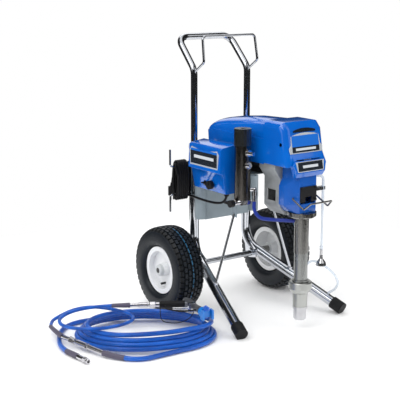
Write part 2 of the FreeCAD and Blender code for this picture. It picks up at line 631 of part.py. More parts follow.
drive_front_outline = [("-drive_half + 22", "drive_bottom"), ("drive_half - 22", "drive_bottom"),
                       ("drive_half", "drive_bottom + 26"), ("drive_half", "drive_bottom + 92"),
                       ("drive_neck_half", "drive_bottom + 118"), ("drive_neck_half", "drive_top"),
                       ("-drive_neck_half", "drive_top"), ("-drive_neck_half", "drive_bottom + 118"),
                       ("-drive_half", "drive_bottom + 92"), ("-drive_half", "drive_bottom + 26")]
drive_plan = [("-drive_half", "case_front"), ("-drive_half", "drive_front + 50"),
              ("-drive_half + 27", "drive_front"),
              ("drive_half - 27", "drive_front"), ("drive_half", "drive_front + 50"),
              ("drive_half", "case_front")]
drive_room_plan = [("-drive_neck_half + drive_wall", "case_front + 1"),
                   ("-drive_neck_half + drive_wall", "drive_front + 38"),
                   ("-drive_neck_half + drive_wall + 9", "drive_front + drive_wall"),
                   ("drive_neck_half - drive_wall - 9", "drive_front + drive_wall"),
                   ("drive_neck_half - drive_wall", "drive_front + 38"),
                   ("drive_neck_half - drive_wall", "case_front + 1")]
drive_block = doc.addObject("Part::Common", "drive_block")
drive_block.Base = padded("drive_face", "Y", drive_front_outline, "drive_front", "case_front")
drive_block.Tool = padded("drive_section", "Z", drive_plan, "drive_bottom - 1", "drive_top + 1")
window = ("-34", "34")
window_height = ("clevis_height - clevis_half - 16", "clevis_height + 26")
drive_housing = cut("drive_housing", drive_block, [
    padded("drive_room", "Z", drive_room_plan, window_height[0], "drive_top - drive_wall"),
    box("drive_window", window, ("drive_front - 1", "drive_front + drive_wall + 1"), window_height),
    round_bar("pump_seat", "Z", ("0", "pump_y"), "sleeve_radius", "drive_bottom - 1",
              window_height[0] + " + 1"),
    round_bar("bail_holes", "X", ("bail_y", "bail_height"), "bail_radius + slide_gap", "-drive_half",
              "drive_half")])

guard_plate = box("guard_plate", ("-37", "37"), ("drive_front - 3", "drive_front"),
                  ("clevis_height - 24", "clevis_height + 30"))
guard_slot = box("guard_slot", ("-14", "14"), ("drive_front - 4", "drive_front + 1"),
                 ("clevis_height - 25", "clevis_height - 6"))
guard_bolts = [round_bar("guard_bolt_%d" % i, "Y", (x, z), "4.5", "drive_front - 7", "drive_front - 2")
               for i, (x, z) in enumerate([("-31", "clevis_height + 24"), ("31", "clevis_height + 24"),
                                           ("-31", "clevis_height - 18"), ("31", "clevis_height - 18")])]
rod_guard = joined("rod_guard", [cut("guard_sheet", guard_plate, [guard_slot])] + guard_bolts)

# ---------------------------------------------------------------- connecting rod and fluid pump

rod_eye_outline = [("-10", "clevis_height"), ("-10", "clevis_height - 3"), ("10", "clevis_height - 3"),
                   ("10", "clevis_height"), ("9", "crank_pin_height"), ("-9", "crank_pin_height")]
rod_sides = ("rod_y_front", "rod_y_front + rod_wall")
rod_bar = padded("rod_bar", "Y", rod_eye_outline, rod_sides[0], rod_sides[1])
rod_solid = joined("rod_solid", [rod_bar, round_bar("rod_big_end", "Y", ("0", "crank_pin_height"),
                                                    "rod_eye", *rod_sides),
                                 round_bar("rod_small_end", "Y", ("0", "clevis_height"), "11", *rod_sides)])
connecting_rod = cut("connecting_rod", rod_solid, [
    round_bar("rod_big_bore", "Y", ("0", "crank_pin_height"), "crank_pin + 1", rod_sides[0] + " - 1",
              rod_sides[1] + " + 1"),
    round_bar("rod_small_bore", "Y", ("0", "clevis_height"), "5 + slide_gap", rod_sides[0] + " - 1",
              rod_sides[1] + " + 1")])

rod_stem = turned("rod_stem", [("0", "piston_bottom"), ("cylinder_radius - pump_wall - slide_gap",
                                                        "piston_bottom"),
                               ("cylinder_radius - pump_wall - slide_gap", "piston_bottom + 26"),
                               ("pump_rod", "piston_bottom + 30"),
                               ("pump_rod", "clevis_height - clevis_half"),
                               ("clevis_radius", "clevis_height - clevis_half"),
                               ("clevis_radius", "clevis_height + 9"),
                               ("0", "clevis_height + 9")], "Z", ("0", "pump_y", 0))
fork_gap = box("fork_gap", ("-20", "20"), ("rod_y_front - 0.4", "rod_y_front + rod_wall + 0.4"),
               ("clevis_height - 11.6", "clevis_height + 10"))
fork_pin = round_bar("fork_pin", "Y", ("0", "clevis_height"), "5", "pump_y - clevis_radius + 1",
                     "pump_y + clevis_radius - 1")
pump_rod = joined("pump_rod", [cut("rod_fork", rod_stem, [fork_gap]), fork_pin])

pump_at = ("0", "pump_y", 0)
nut_disc = turned("nut_disc", [("sleeve_radius", "drive_bottom - nut_height"),
                               ("nut_radius - 5", "drive_bottom - nut_height"),
                               ("nut_radius", "drive_bottom - nut_height + 5"),
                               ("nut_radius", "drive_bottom"),
                               ("sleeve_radius", "drive_bottom")], "Z", pump_at)
slots = []
for i in range(int(value("nut_slots"))):
    slot = Part.makeBox(14, 11, value("nut_height") + 2,
                        Vector(value("nut_radius") - 7, -5.5, value("drive_bottom - nut_height") - 1))
    slot.rotate(Vector(0, 0, 0), Vector(0, 0, 1), i * 360 / value("nut_slots"))
    slot.translate(Vector(0, value("pump_y"), 0))
    slots.append(slot)
jam_nut = cut("jam_nut", nut_disc, [shaped("nut_slot_cuts", Part.makeCompound(slots))])
pump_sleeve = turned("pump_sleeve", [("sleeve_radius - pump_wall", "sleeve_bottom"),
                                     ("sleeve_radius", "sleeve_bottom"),
                                     ("sleeve_radius", "drive_bottom + 6"),
                                     ("pump_rod + slide_gap", "drive_bottom + 6"),
                                     ("pump_rod + slide_gap", "drive_bottom - 14"),
                                     ("sleeve_radius - pump_wall", "drive_bottom - 14")], "Z", pump_at)
pump_cylinder = turned("pump_cylinder", [("cylinder_radius - pump_wall", "cylinder_bottom - flange_height"),
                                         ("29", "cylinder_bottom - flange_height"),
                                         ("29", "cylinder_bottom"),
                                         ("cylinder_radius", "cylinder_bottom"),
                                         ("cylinder_radius", "sleeve_bottom"),
                                         ("cylinder_radius - pump_wall", "sleeve_bottom")], "Z", pump_at)
intake_housing = turned("intake_housing", [("12", "neck_bottom"), ("intake_neck", "neck_bottom"),
                                           ("intake_neck + 2", "intake_bottom - 6"),
                                           ("intake_radius - 8", "intake_bottom"),
                                           ("intake_radius", "intake_bottom + 12"),
                                           ("intake_radius", "cylinder_bottom - flange_height - 3"),
                                           ("intake_radius - 3", "cylinder_bottom - flange_height"),
                                           ("cylinder_radius - pump_wall",
                                            "cylinder_bottom - flange_height"),
                                           ("cylinder_radius - pump_wall", "intake_bottom + 6"),
                                           ("12", "intake_bottom - 4")],
                        "Z", pump_at)
intake_strainer = turned("intake_strainer", [("0", "strainer_bottom"),
                                             ("strainer_radius - 4", "strainer_bottom"),
                                             ("strainer_radius", "strainer_bottom + 4"),
                                             ("strainer_radius", "neck_bottom - seal_height"),
                                             ("strainer_radius + 3", "neck_bottom - seal_height"),
                                             ("strainer_radius + 3", "neck_bottom"), ("12", "neck_bottom"),
                                             ("12", "neck_bottom - seal_height"),
                                             ("strainer_radius - 2", "neck_bottom - seal_height - 2"),
                                             ("strainer_radius - 2", "strainer_bottom + 5"),
                                             ("0", "strainer_bottom + 3")], "Z", pump_at)

bail_path = [point("-bail_half + 8", "bail_y", "bail_height"),
             point("-bail_half - 5", "bail_y", "bail_height"),
             point("-bail_half - 5", "bail_y - 62", "bail_height - 29"),
             point("-bail_half + 2", "bail_y - 89", "bail_height - 5"),
             point("bail_half - 2", "bail_y - 89", "bail_height - 5"),
             point("bail_half + 5", "bail_y - 62", "bail_height - 29"),
             point("bail_half + 5", "bail_y", "bail_height"),
             point("bail_half - 8", "bail_y", "bail_height")]
pail_hook = bent_tube("pail_hook", bail_path, [5, 8, 7, 7, 8, 5], value("bail_radius"))

# ---------------------------------------------------------------- covers

lid_top = [("seam_y + seam_gap / 2", "shroud_top"), ("shroud_rear - 50", "shroud_top_rear"),
           ("shroud_rear - 26", "shroud_top_rear - 26"), ("shroud_rear", "shroud_rear_skirt")]
shroud_outline = lid_top + [("shroud_rear - 186", "shroud_rear_skirt - 3"),
                            ("shroud_rear - 212", "shroud_skirt"),
                            ("seam_y + seam_gap / 2", "shroud_skirt")]
shroud_inner_outline = [("seam_y - 2", "shroud_top - shroud_wall"),
                        ("shroud_rear - 51", "shroud_top_rear - shroud_wall"),
                        ("shroud_rear - 28", "shroud_top_rear - 28"),
                        ("shroud_rear - shroud_wall", "shroud_rear_skirt - 1"),
                        ("shroud_rear - shroud_wall", "shroud_skirt - 60"),
                        ("seam_y - 2", "shroud_skirt - 60")]


def top_edges(low):
    def chosen(edge):
        ends = [v.Point for v in edge.Vertexes]
        if len(ends) < 2 or abs(ends[0].x - ends[1].x) > 0.01:
            return False
        return min(p.z for p in ends) > low and abs(ends[0].y - ends[1].y) > 4
    return chosen


def hood(name, outline, half, radius, low):
    body = padded(name, "X", outline, "-(%s)" % half, half)
    return rounded(body, radius, top_edges(low))


rear_low = value("shroud_rear_skirt") - 1.5
shroud_shell = hood("shroud_shell", shroud_outline, "shroud_half", "shroud_corner", rear_low)
shroud_room = hood("shroud_room", shroud_inner_outline, "shroud_half - shroud_wall",
                   "shroud_corner - shroud_wall", rear_low)
motor_shroud = cut("motor_shroud", shroud_shell, [shroud_room])

cover_outline = [("seam_y - seam_gap / 2", "cover_low + 36"), ("seam_y - seam_gap / 2", "shroud_top"),
                 ("cover_brow_y + 22", "shroud_top"), ("cover_brow_y", "cover_brow"),
                 ("cover_lip_y + 12", "cover_lip + 20"), ("cover_lip_y", "cover_lip"),
                 ("cover_lip_y + 6", "cover_low + 36")]
cover_room_outline = [("seam_y + 2", "cover_low"), ("seam_y + 2", "shroud_top - shroud_wall"),
                      ("cover_brow_y + 24", "shroud_top - shroud_wall"),
                      ("cover_brow_y + shroud_wall", "cover_brow - 1"),
                      ("cover_lip_y + 15", "cover_lip + 20"), ("cover_lip_y + 9", "cover_low")]
chin_outline = [("-72", "cover_lip - 18"), ("-66", "cover_lip - 1"), ("66", "cover_lip - 1"),
                ("72", "cover_lip - 18"),
                ("60", "cover_low"), ("-60", "cover_low")]
chin_side = [("seam_y - 8", "cover_lip"), ("cover_plate_y + 9", "cover_lip"),
             ("cover_plate_y", "cover_plate_low"),
             ("cover_plate_y + 8", "cover_low"), ("seam_y - 50", "cover_low"),
             ("seam_y - 8", "cover_low + 30")]
chin = doc.addObject("Part::Common", "cover_chin")
chin.Base = padded("chin_face", "Y", chin_outline, "cover_plate_y - 1", "seam_y - 4")
chin.Tool = padded("chin_side", "X", chin_side, "-shroud_half", "shroud_half")
chin_room = box("chin_room", ("-54", "54"), ("cover_plate_y + 11", "seam_y"),
                ("cover_low - 1", "cover_lip + 2"))
cover_edge = value("cover_low") + 40
cover_shell = hood("cover_shell", cover_outline, "shroud_half", "shroud_corner", cover_edge)
cover_room = hood("cover_room", cover_room_outline, "shroud_half - shroud_wall",
                  "shroud_corner - shroud_wall", cover_edge)
side_holes = [round_bar("cover_hole", "X", ("cover_brow_y + 16", "cover_lip + 52"), "7", "-shroud_half - 1",
                        "shroud_half + 1")]
front_cover = cut("front_cover", joined("cover_solid", [cover_shell, chin]),
                  [cover_room, chin_room] + side_holes)


def leaning(name, outline, foot_y, foot_z, head_y, head_z, wall):
    """A thin plate drawn upright and leaned back onto a sloping face of the cover."""
    low = point("0", foot_y, foot_z)
    high = point("0", head_y, head_z)
    plate = padded(name, "Y", outline, "-(%s)" % wall, "0")
    lean = math.degrees(math.atan2(high.y - low.y, high.z - low.z))
    plate.Placement = Placement(low, Rotation(Vector(1, 0, 0), -lean))
    return plate


badge_outline = [("-badge_half - 7", "2"), ("badge_half + 7", "2"), ("badge_half + 10", "20"),
                 ("badge_half", "32"),
                 ("badge_half - 3", "badge_top - badge_low - 8"),
                 ("-badge_half + 3", "badge_top - badge_low - 8", "-210"),
                 ("-badge_half", "32"), ("-badge_half - 10", "20")]
face_low, face_high = ("cover_lip_y + 12", "cover_lip + 20"), ("cover_brow_y", "cover_brow")
front_badge = leaning("front_badge", badge_outline, *face_low, *face_high, "badge_wall")
lower_plate = leaning("lower_plate", [("-58", "3"), ("58", "3"), ("64", "39"), ("-64", "39")],
                      "cover_plate_y", "cover_plate_low", "cover_plate_y + 9", "cover_lip", "badge_wall")
vent_grille = leaning("vent_grille", [("-50", "74"), ("50", "74"), ("50", "80"), ("-50", "80", "-160")],
                      *face_low, *face_high, "2")

# ---------------------------------------------------------------- control box

control_chassis = cut("control_chassis",
                      box("control_can", ("-control_side", "-control_side + chassis_width"),
                          ("control_front + 8", "control_rear"), ("chassis_bottom", "chassis_top")),
                      [box("control_can_room", ("-control_side - 1",
                                                "-control_side + chassis_width - sheet_wall"),
                           ("control_front + 8 + sheet_wall", "control_rear - sheet_wall"),
                           ("chassis_bottom + sheet_wall", "chassis_top - sheet_wall"))])
cover_section = [("-control_side", "control_bottom"), ("-label_x + control_slope + 8", "control_bottom"),
                 ("-label_x + 14", "label_low - 10"), ("-label_x", "label_low - 5"),
                 ("-label_x", "label_low + 4"),
                 ("-label_x + 4", "label_top"), ("-label_x + 12", "label_top + 6"),
                 ("-control_side", "control_top")]
cover_hollow = [("-control_side + 1", "control_bottom + sheet_wall"),
                ("-label_x + control_slope + 12", "control_bottom + sheet_wall"),
                ("-label_x + 18", "label_low - 8"), ("-label_x + 4", "label_low - 2"),
                ("-label_x + 8", "label_top - 2"),
                ("-control_side + 1", "control_top - 5")]
knob_x = "-label_x + 22"
control_cover = cut("control_cover", padded("control_hood", "Y", cover_section, "control_front",
                                            "control_rear"), [
    padded("control_room", "Y", cover_hollow, "control_front + sheet_wall", "control_rear - sheet_wall"),
    round_bar("knob_hole", "X", ("knob_y", "knob_height"), "4 + slide_gap", "-label_x", "-control_side"),
    box("switch_hole", ("-label_x", "-label_x + 40"), ("switch_y - switch_half", "switch_y + switch_half"),
        ("knob_height - 13", "knob_height + 9")),
    round_bar("cord_hole", "Z", ("-control_side - 20", "control_front + 24"), "7", "control_bottom - 1",
              "control_bottom + 5")])
pressure_knob = joined("pressure_knob", [
    round_bar("knob_grip", "X", ("knob_y", "knob_height"), "knob_radius", knob_x + " - knob_length",
              knob_x + " - 5"),
    round_bar("knob_shaft", "X", ("knob_y", "knob_height"), "4", knob_x + " - 6", knob_x + " + 16"),
    box("knob_pointer", (knob_x + " - knob_length - 2", knob_x + " - knob_length + 1"),
        ("knob_y - 1.5", "knob_y + 1.5"),
        ("knob_height", "knob_height + knob_radius - 2"))])
power_switch = joined("power_switch", [
    round_bar("switch_barrel", "Y", (knob_x + " + 3", "knob_height - 2"), "8",
              "switch_y - switch_half + 0.5",
              "switch_y + switch_half - 0.5"),
    round_bar("switch_lever", "X", ("switch_y", "knob_height + 2"), "3", knob_x + " - 16", knob_x)])
label_outline = [("control_front + 12", "label_low + 8"), ("control_rear - 12", "label_low + 8"),
                 ("control_rear - 8", "label_top - 20"), ("control_rear - 20", "label_top - 6"),
                 ("control_front + 20", "label_top - 6", "420"), ("control_front + 8", "label_top - 20")]
control_label = padded("control_label", "X", label_outline, "-label_x - 0.6", "-label_x + 5")
name_plates = grouped("name_plates", [front_badge, lower_plate, vent_grille,
                                      cut("control_badge", control_label, [
    padded("label_backing", "Y", cover_section, "control_front", "control_rear")])])

# ---------------------------------------------------------------- filter, fittings and hoses

filter_at = ("filter_x", "filter_y", 0)
filter_body = turned("filter_body", [("0", "filter_bottom"), ("filter_radius", "filter_bottom"),
                                     ("filter_radius", "filter_top"),
                                     ("filter_bore", "filter_top"), ("filter_bore", "filter_bottom + 12"),
                                     ("0", "filter_bottom + 12")], "Z", filter_at)
cap_disc = turned("cap_disc", [("0", "filter_top + 8"), ("filter_bore - slide_gap", "filter_top + 8"),
                               ("filter_bore - slide_gap", "filter_top - 14"),
                               ("filter_bore - 4", "filter_top - 14"),
                               ("filter_bore - 4", "filter_top + 2"),
                               ("0", "filter_top + 2")], "Z", filter_at)
cap_flutes = []
for i in range(16):
    turn = 2 * math.pi * i / 16
    ring = value("filter_radius") + 3.4
    cap_flutes.append(Part.makeCylinder(3, 70, Vector(value("filter_x") + ring * math.cos(turn),
                                                      value("filter_y") + ring * math.sin(turn),
                                                      value("filter_top"))))
cap_grip = cut("cap_grip", round_bar("cap_round", "Z", ("filter_x", "filter_y"), "filter_radius + 1.5",
                                     "filter_top", "filter_cap_top"),
               [shaped("cap_flutes", Part.makeCompound(cap_flutes)),
                round_bar("cap_socket", "Z", ("filter_x", "filter_y"), "9", "filter_cap_top - 12",
                          "filter_cap_top + 1")])
filter_cap = joined("filter_cap", [cap_grip, cap_disc])
filter_element = turned("filter_element", [("element_radius - 4", "filter_bottom + 12"),
                                           ("element_radius", "filter_bottom + 12"),
                                           ("element_radius", "filter_top - 18"),
                                           ("element_radius - 4", "filter_top - 18")],
                        "Z", filter_at)

port_way = Vector(math.sin(math.radians(value("port_turn"))), -math.cos(math.radians(value("port_turn"))),
                  0)


def port(height, length, nut_start):
    start = point("filter_x", "filter_y", height) + port_way * (value("filter_radius") - 0.5)
    stem = straight_rod(start, start + port_way * length, value("port_radius"))
    nut = straight_rod(start, start + port_way * nut_start, value("port_nut"))
    return stem.fuse(nut)


plug = port("port_low", 16, 9)
block = Part.makeBox(*[value(t) for t in ("2 * block_half", "2 * block_half",
                                          "filter_bottom - block_bottom")],
                     point("filter_x - block_half", "filter_y - block_half", "block_bottom"))
outlet_way = Vector(0.78, -0.626, 0)
outlet = point("filter_x", "filter_y", "filter_bottom + 36") + outlet_way * (value("filter_radius") - 1)
elbow_spot = outlet + outlet_way * 16
hose_start = elbow_spot + Vector(-8, -8, -42)
hose_way = (hose_start - elbow_spot).normalize()
hose_elbow = straight_rod(outlet, elbow_spot, 7).fuse(Part.makeSphere(8, elbow_spot))
hose_nut = straight_rod(elbow_spot, hose_start, 7.5).fuse(straight_rod(elbow_spot + hose_way * 10,
                                                                       elbow_spot + hose_way * 24, 9.5))
valve_start = point("filter_x - block_half", "valve_y", "block_bottom + 6")
valve_body = straight_rod(valve_start + Vector(1, 0, 0), valve_start - Vector(16, 0, 0),
                          value("valve_radius") - 4)
fluid_fittings = shaped("fluid_fittings", port("port_high", value("port_length"),
                                               value("port_nut_length")).multiFuse(
    [plug, block, hose_elbow, hose_nut, valve_body]))
lever_start = valve_start - Vector(16.4, 0, 0)
valve_lever = straight_rod(lever_start, lever_start - Vector(16, 0, 0), value("lever_radius") - 2)
lever_wing = Part.makeBox(12, 46, 9, lever_start + Vector(-14, -12, -4.5))
prime_valve_lever = shaped("prime_valve_lever", valve_lever.fuse(lever_wing))

pump_hose_points = [hose_start, hose_start + hose_way * 30, Vector(-100, -337, 399), Vector(-62, -370, 394),
                    Vector(-28, -406, 394), Vector(-11.6, -427.2, 394)]
pump_hose = shaped("pump_hose", cord("pump_hose", pump_hose_points, 6.5))

drain_path = [point("drive_neck_half - 4", "drain_y + 26", "drain_top"),
              point("drain_x", "drain_y", "drain_top"),
              point("drain_x", "drain_y", "drain_bottom")]
drain_pipe = swept(drain_path, [14], value("drain_radius"))[0]
ferrule = straight_rod(point("drain_x", "drain_y", "drain_bottom + 12"),
                       point("drain_x", "drain_y", "drain_bottom"), 7)
loop_points = [point("cylinder_radius - 1", "pump_y + 4", "228"), point("58", "pump_y + 14", "238"),
               point("106", "pump_y + 26", "226"),
               point("150", "pump_y - 4", "188"), point("190", "pump_y + 2", "140"),
               point("214", "pump_y + 44", "96"),
               point("foot_x - 14", "foot_y + 58", "67")]
drain_loop = cord("drain_loop", loop_points, 4.5)
drain_line = shaped("drain_line", Part.makeCompound([drain_pipe.fuse(ferrule), drain_loop]))
bell = turned("drain_bell", [("0", "bell_bottom + 40"), ("6", "bell_bottom + 40"),
                             ("7", "bell_bottom + 26"),
                             ("bell_radius - 2", "bell_bottom + 12"), ("bell_radius", "bell_bottom + 2"),
                             ("bell_radius - 3", "bell_bottom"), ("bell_radius - 5", "bell_bottom + 9"),
                             ("0", "bell_bottom + 14")],
              "Z", ("drain_x", "drain_y", 0))
nipple = round_bar("drain_nipple", "Z", ("drain_x", "drain_y"), "6", "bell_bottom + 38", "drain_bottom")
clip = box("drain_clip", ("drain_x - 44", "drain_x + 7"), ("drain_y - 4", "drain_y + 12"),
           ("bail_height + 16", "bail_height + 28"))
clip_cut = cut("drain_clip_cut", clip, [drive_block, round_bar("clip_hole", "Z", ("drain_x", "drain_y"),
                                                               "drain_radius",
                                                               "bail_height + 15", "bail_height + 29")])
drain_deflector = grouped("drain_deflector", [joined("drain_bell_whole", [bell, nipple]), clip_cut])

# ---------------------------------------------------------------- cord hooks and power cord

hook_x = "-post_half - tube_od / 2"
hook_plate = box("hook_plate", (hook_x + " - 4", hook_x + " + 2"), ("post_y - 12", "post_y + 12"),
                 ("hook_middle - hook_spread - 12", "hook_middle + hook_spread + 12"))
hook_rods = []
for sign in (1, -1):
    level = value("hook_middle") + sign * value("hook_spread")
    root = point(hook_x + " - 1", "post_y", "0") + Vector(0, 0, level)
    tip = root + Vector(-value("hook_reach"), 0, 0)
    hook_rods.append(swept([root, tip, tip + Vector(0, 0, sign * value("hook_tip"))], [9],
                           value("hook_radius"))[0])
hook_arms = shaped("hook_arms", Part.makeCompound(hook_rods))
cord_hooks = joined("cord_hooks", [hook_plate, hook_arms])

hank_x = ("-post_half - tube_od / 2 - 7 - hank_length", "-post_half - tube_od / 2 - 7")


def hank_shape(name, radius):
    """A long loop: two round ends and the straight stretch between them."""
    low = "hook_middle - hank_height / 2 + hank_depth / 2"
    high = "hook_middle + hank_height / 2 - hank_depth / 2"
    return joined(name, [round_bar(name + "_low", "X", ("post_y", low), radius, *hank_x),
                         round_bar(name + "_high", "X", ("post_y", high), radius, *hank_x),
                         box(name + "_sides", hank_x, ("post_y - (%s)" % radius, "post_y + %s" % radius),
                             (low, high))])


cord_hank = cut("cord_hank", hank_shape("hank_outer", "hank_depth / 2"),
                [hank_shape("hank_hole", "(hank_depth / 2 - hank_thickness)")])

gland_at = ("-control_side - 20", "control_front + 24")
cord_gland = turned("cord_gland", [("cord_radius", "-12"), ("8", "-12"), ("10", "-8"), ("10", "0"),
                                   ("cord_radius", "0")], "Z", (*gland_at, "control_bottom"))
lead_points = [Vector(-148, -208, 462), Vector(-149, -200, 440), Vector(-152, -164, 428),
               Vector(-155, -110, 425), Vector(-156, -54, 426), Vector(-155, 0, 428.5)]
tail_points = [Vector(-164, 49, 500), Vector(-164, 84, 512), Vector(-166, 112, 486), Vector(-166, 114, 446)]
plug_tail = cord("plug_tail", tail_points, value("cord_radius"))
plug_top = tail_points[-1]
plug_body = Part.makeCylinder(15, 34, plug_top - Vector(0, 0, 34), Vector(0, 0, 1))
plug_neck = Part.makeCone(8, 5.5, 16, plug_top - Vector(0, 0, 1), Vector(0, 0, 1))
plug_neck = plug_neck.cut(Part.makeCylinder(value("cord_radius"), 40, plug_top, Vector(0, 0, 1)))
prongs = [Part.makeBox(1.6, 6.3, 18, plug_top + Vector(x - 0.8, -3.1, -52)) for x in (-6.3, 6.3)]
prongs.append(Part.makeCylinder(2.4, 20, plug_top + Vector(0, 8, -54), Vector(0, 0, 1)))
cord_plug = shaped("cord_plug", plug_body.multiFuse([plug_neck] + prongs))
cord_lead = shaped("cord_lead", Part.makeCompound([cord("cord_lead", lead_points, value("cord_radius")),
                                                   plug_tail]))

# ---------------------------------------------------------------- spray hose on the floor

hose_radius = 8.2
whip_radius = 6.2
coil_turn = math.radians(-35.8)
coil_way = Vector(math.cos(coil_turn), math.sin(coil_turn), 0)


def oval(centre, long_half, short_half):
    across = Vector(-coil_way.y, coil_way.x, 0)
    curve = Part.Ellipse(centre + coil_way * long_half, centre + across * short_half, centre)
    return Part.Wire(curve.toShape())


def oval_block(levels):
    return Part.makeLoft([oval(*level) for level in levels], True, True)


coil_outer = oval_block([(Vector(-499, -199, 0.2), 256, 194), (Vector(-499, -199, 17), 258, 196),
                         (Vector(-491, -188, 62), 238, 176)])
coil_inner = oval_block([(Vector(-499, -199, -1), 206, 148), (Vector(-495, -193, 30), 208, 150),
                         (Vector(-491, -188, 64), 204, 144)])
hose_coil = shaped("hose_coil", coil_outer.cut(coil_inner))

tail_route = [Vector(-463, 1, 8.4), Vector(-535, 36, 8.4), Vector(-612, 58, 8.4), Vector(-680, 42, 8.4),
              Vector(-733, -12, 8.4),
              Vector(-770, -78, 8.4), Vector(-793, -135, 9), Vector(-796, -186, 10)]
lead_route = [Vector(-674, -344, 10), Vector(-654, -370, 8.6), Vector(-612, -391, 8.4),
              Vector(-560, -392, 8.4)]
hose_tail = shaped("hose_tail", Part.makeCompound([cord("hose_tail", tail_route, hose_radius),
                                                   cord("hose_lead", lead_route, hose_radius)]))
whip_route = [Vector(-550, -74, 92), Vector(-595, -46, 90), Vector(-655, -20, 85), Vector(-715, -22, 79),
              Vector(-760, -55, 74),
              Vector(-770, -110, 70), Vector(-735, -165, 70), Vector(-675, -205, 70),
              Vector(-600, -215, 70), Vector(-540, -195, 70),
              Vector(-513, -145, 69), Vector(-522, -88, 69), Vector(-545, -30, 69), Vector(-585, 22, 69),
              Vector(-640, 55, 60),
              Vector(-695, 62, 43), Vector(-736, 48, 35), Vector(-754, 10, 31)]
whip_hose = shaped("whip_hose", cord("whip_hose", whip_route, whip_radius))


def stepped_bar(start, way, steps):
    """Cylinders end to end; each step is a length and a radius."""
    pieces = []
    here = start
    for length, radius in steps:
        pieces.append(Part.makeCylinder(radius, length, here, way))
        here = here + way * length
    return pieces[0].multiFuse(pieces[1:]), here


grip_way = Vector(math.cos(math.radians(148.2)), math.sin(math.radians(148.2)), 0)
grip_end = whip_route[0] - grip_way * 165
swivel = stepped_bar(grip_end, grip_way, [(14, 9), (22, 11), (6, 7.5), (32, 9.5), (31, 8)])[0]
whip_cuff = Part.makeCylinder(9, 60, whip_route[0] - grip_way * 60, grip_way)
coupler_start, coupler_end = Vector(-764, -92, 28), Vector(-711, -277, 14)
coupler_way = (coupler_end - coupler_start).normalize()
coupler_length = (coupler_end - coupler_start).Length
coupler = stepped_bar(coupler_start, coupler_way, [(36, 8), (26, 11.5), (10, 8.5), (44, 10.5), (8, 12),
                                                   (coupler_length - 124, 9)])[0]
near_cuff = swept([whip_route[-1], Vector(-763, -40, 29.5), coupler_start], [120], 9)[0]
far_cuff = swept([coupler_end, Vector(-698, -312, 11.8), lead_route[0]], [120], 9.8)[0]
end_way = Vector(11, -116, 1).normalize()
end_cuff = stepped_bar(tail_route[-1], end_way, [(62, 9.8), (22, 8.6), (12, 9.4)])
connector_start = end_cuff[1]
connector = stepped_bar(connector_start, end_way, [(20, 9.9), (6, 8)])[0]
connector = connector.cut(Part.makeCylinder(6, 19, connector_start + end_way * 8, end_way))
hose_fittings = shaped("hose_fittings", Part.makeCompound([
    swivel.fuse(whip_cuff), coupler.multiFuse([near_cuff, far_cuff]), end_cuff[0].fuse(connector)]))

# ---------------------------------------------------------------- spray gun, drawn along +X and laid down

gun_turn = math.radians(260.2)
gun_grip_turn = math.radians(-112)
gun_place = Placement(Vector(0, 0, 0), Rotation(Vector(0, 0, 1), math.degrees(gun_turn)))
grip_length = 112
local_grip = Vector(math.cos(gun_grip_turn), math.sin(gun_grip_turn), 0)
gun_origin = grip_end - grip_way * grip_length
gun_place.Base = gun_origin


def laid(name, solid):
    thing = shaped(name, solid)
    thing.Placement = gun_place
    return thing


X_WAY, Z_WAY = Vector(1, 0, 0), Vector(0, 0, 1)
barrel = stepped_bar(Vector(-46, 0, 0), X_WAY, [(14, 11), (40, 13), (56, 11), (14, 12.5), (22, 9)])[0]
head = Part.makeBox(44, 26, 22, Vector(-24, -16, -11))
grip_root = local_grip * 10
spine = Part.makeCylinder(9, grip_length - 10, grip_root, local_grip)
pivot_hole = Part.makeCylinder(3.05, 60, Vector(34, -4, -30), Z_WAY)
gun_body = laid("gun_body", barrel.multiFuse([head, spine]).cut(pivot_hole))

grip_tube = Part.makeCylinder(13, grip_length - 22, local_grip * 22, local_grip)
grip_tube = grip_tube.cut(Part.makeCylinder(9, grip_length, grip_root, local_grip))
grip_foot = local_grip * (grip_length - 12)
guard_points = [grip_foot + Vector(10, 0, 0), grip_foot + Vector(52, -8, 0), Vector(62, -70, 0),
                Vector(67, -11, 0)]
guard_wire = swept(guard_points, [14, 18], 2.4)[0]
gun_handle = laid("gun_handle", grip_tube.fuse(guard_wire))

trigger_blade = swept([Vector(34, -18, 0), Vector(33, -46, 0), Vector(19, -80, 0)], [30], 4.5)[0]
trigger_ears = [Part.makeBox(14, 24, 3, Vector(27, -22, z)) for z in (-16.4, 13.4)]
trigger_bridge = Part.makeBox(10, 8, 32.8, Vector(29, -26, -16.4))
trigger_pin = Part.makeCylinder(3, 32.8, Vector(34, -4, -16.4), Z_WAY)
gun_trigger = laid("gun_trigger", trigger_blade.multiFuse(trigger_ears + [trigger_bridge, trigger_pin]))

guard_ring = Part.makeCylinder(17, 18, Vector(92, 0, 0),
                               X_WAY).cut(Part.makeCylinder(9.05, 20, Vector(91, 0, 0), X_WAY))
tip_cross = Part.makeCylinder(7.05, 60, Vector(118, 0, -30), Z_WAY)
saddle = Part.makeBox(18, 24, 22, Vector(109, -12, -11))
fins = [Part.makeBox(22, 6, 34, Vector(120, y, -17)) for y in (-21, 15)]
fin_roots = [Part.makeBox(16, 10, 14, Vector(108, y, -7)) for y in (-21, 11)]
tip_guard = laid("tip_guard", guard_ring.multiFuse([saddle] + fins + fin_roots).cut(tip_cross))
tip_barrel = Part.makeCylinder(7, 44, Vector(118, 0, -18), Z_WAY)
tip_flag = Part.makeBox(26, 5, 12, Vector(118, -2.5, 18))
spray_tip = laid("spray_tip", tip_barrel.fuse(tip_flag))

# ---------------------------------------------------------------- check and write every sub-part

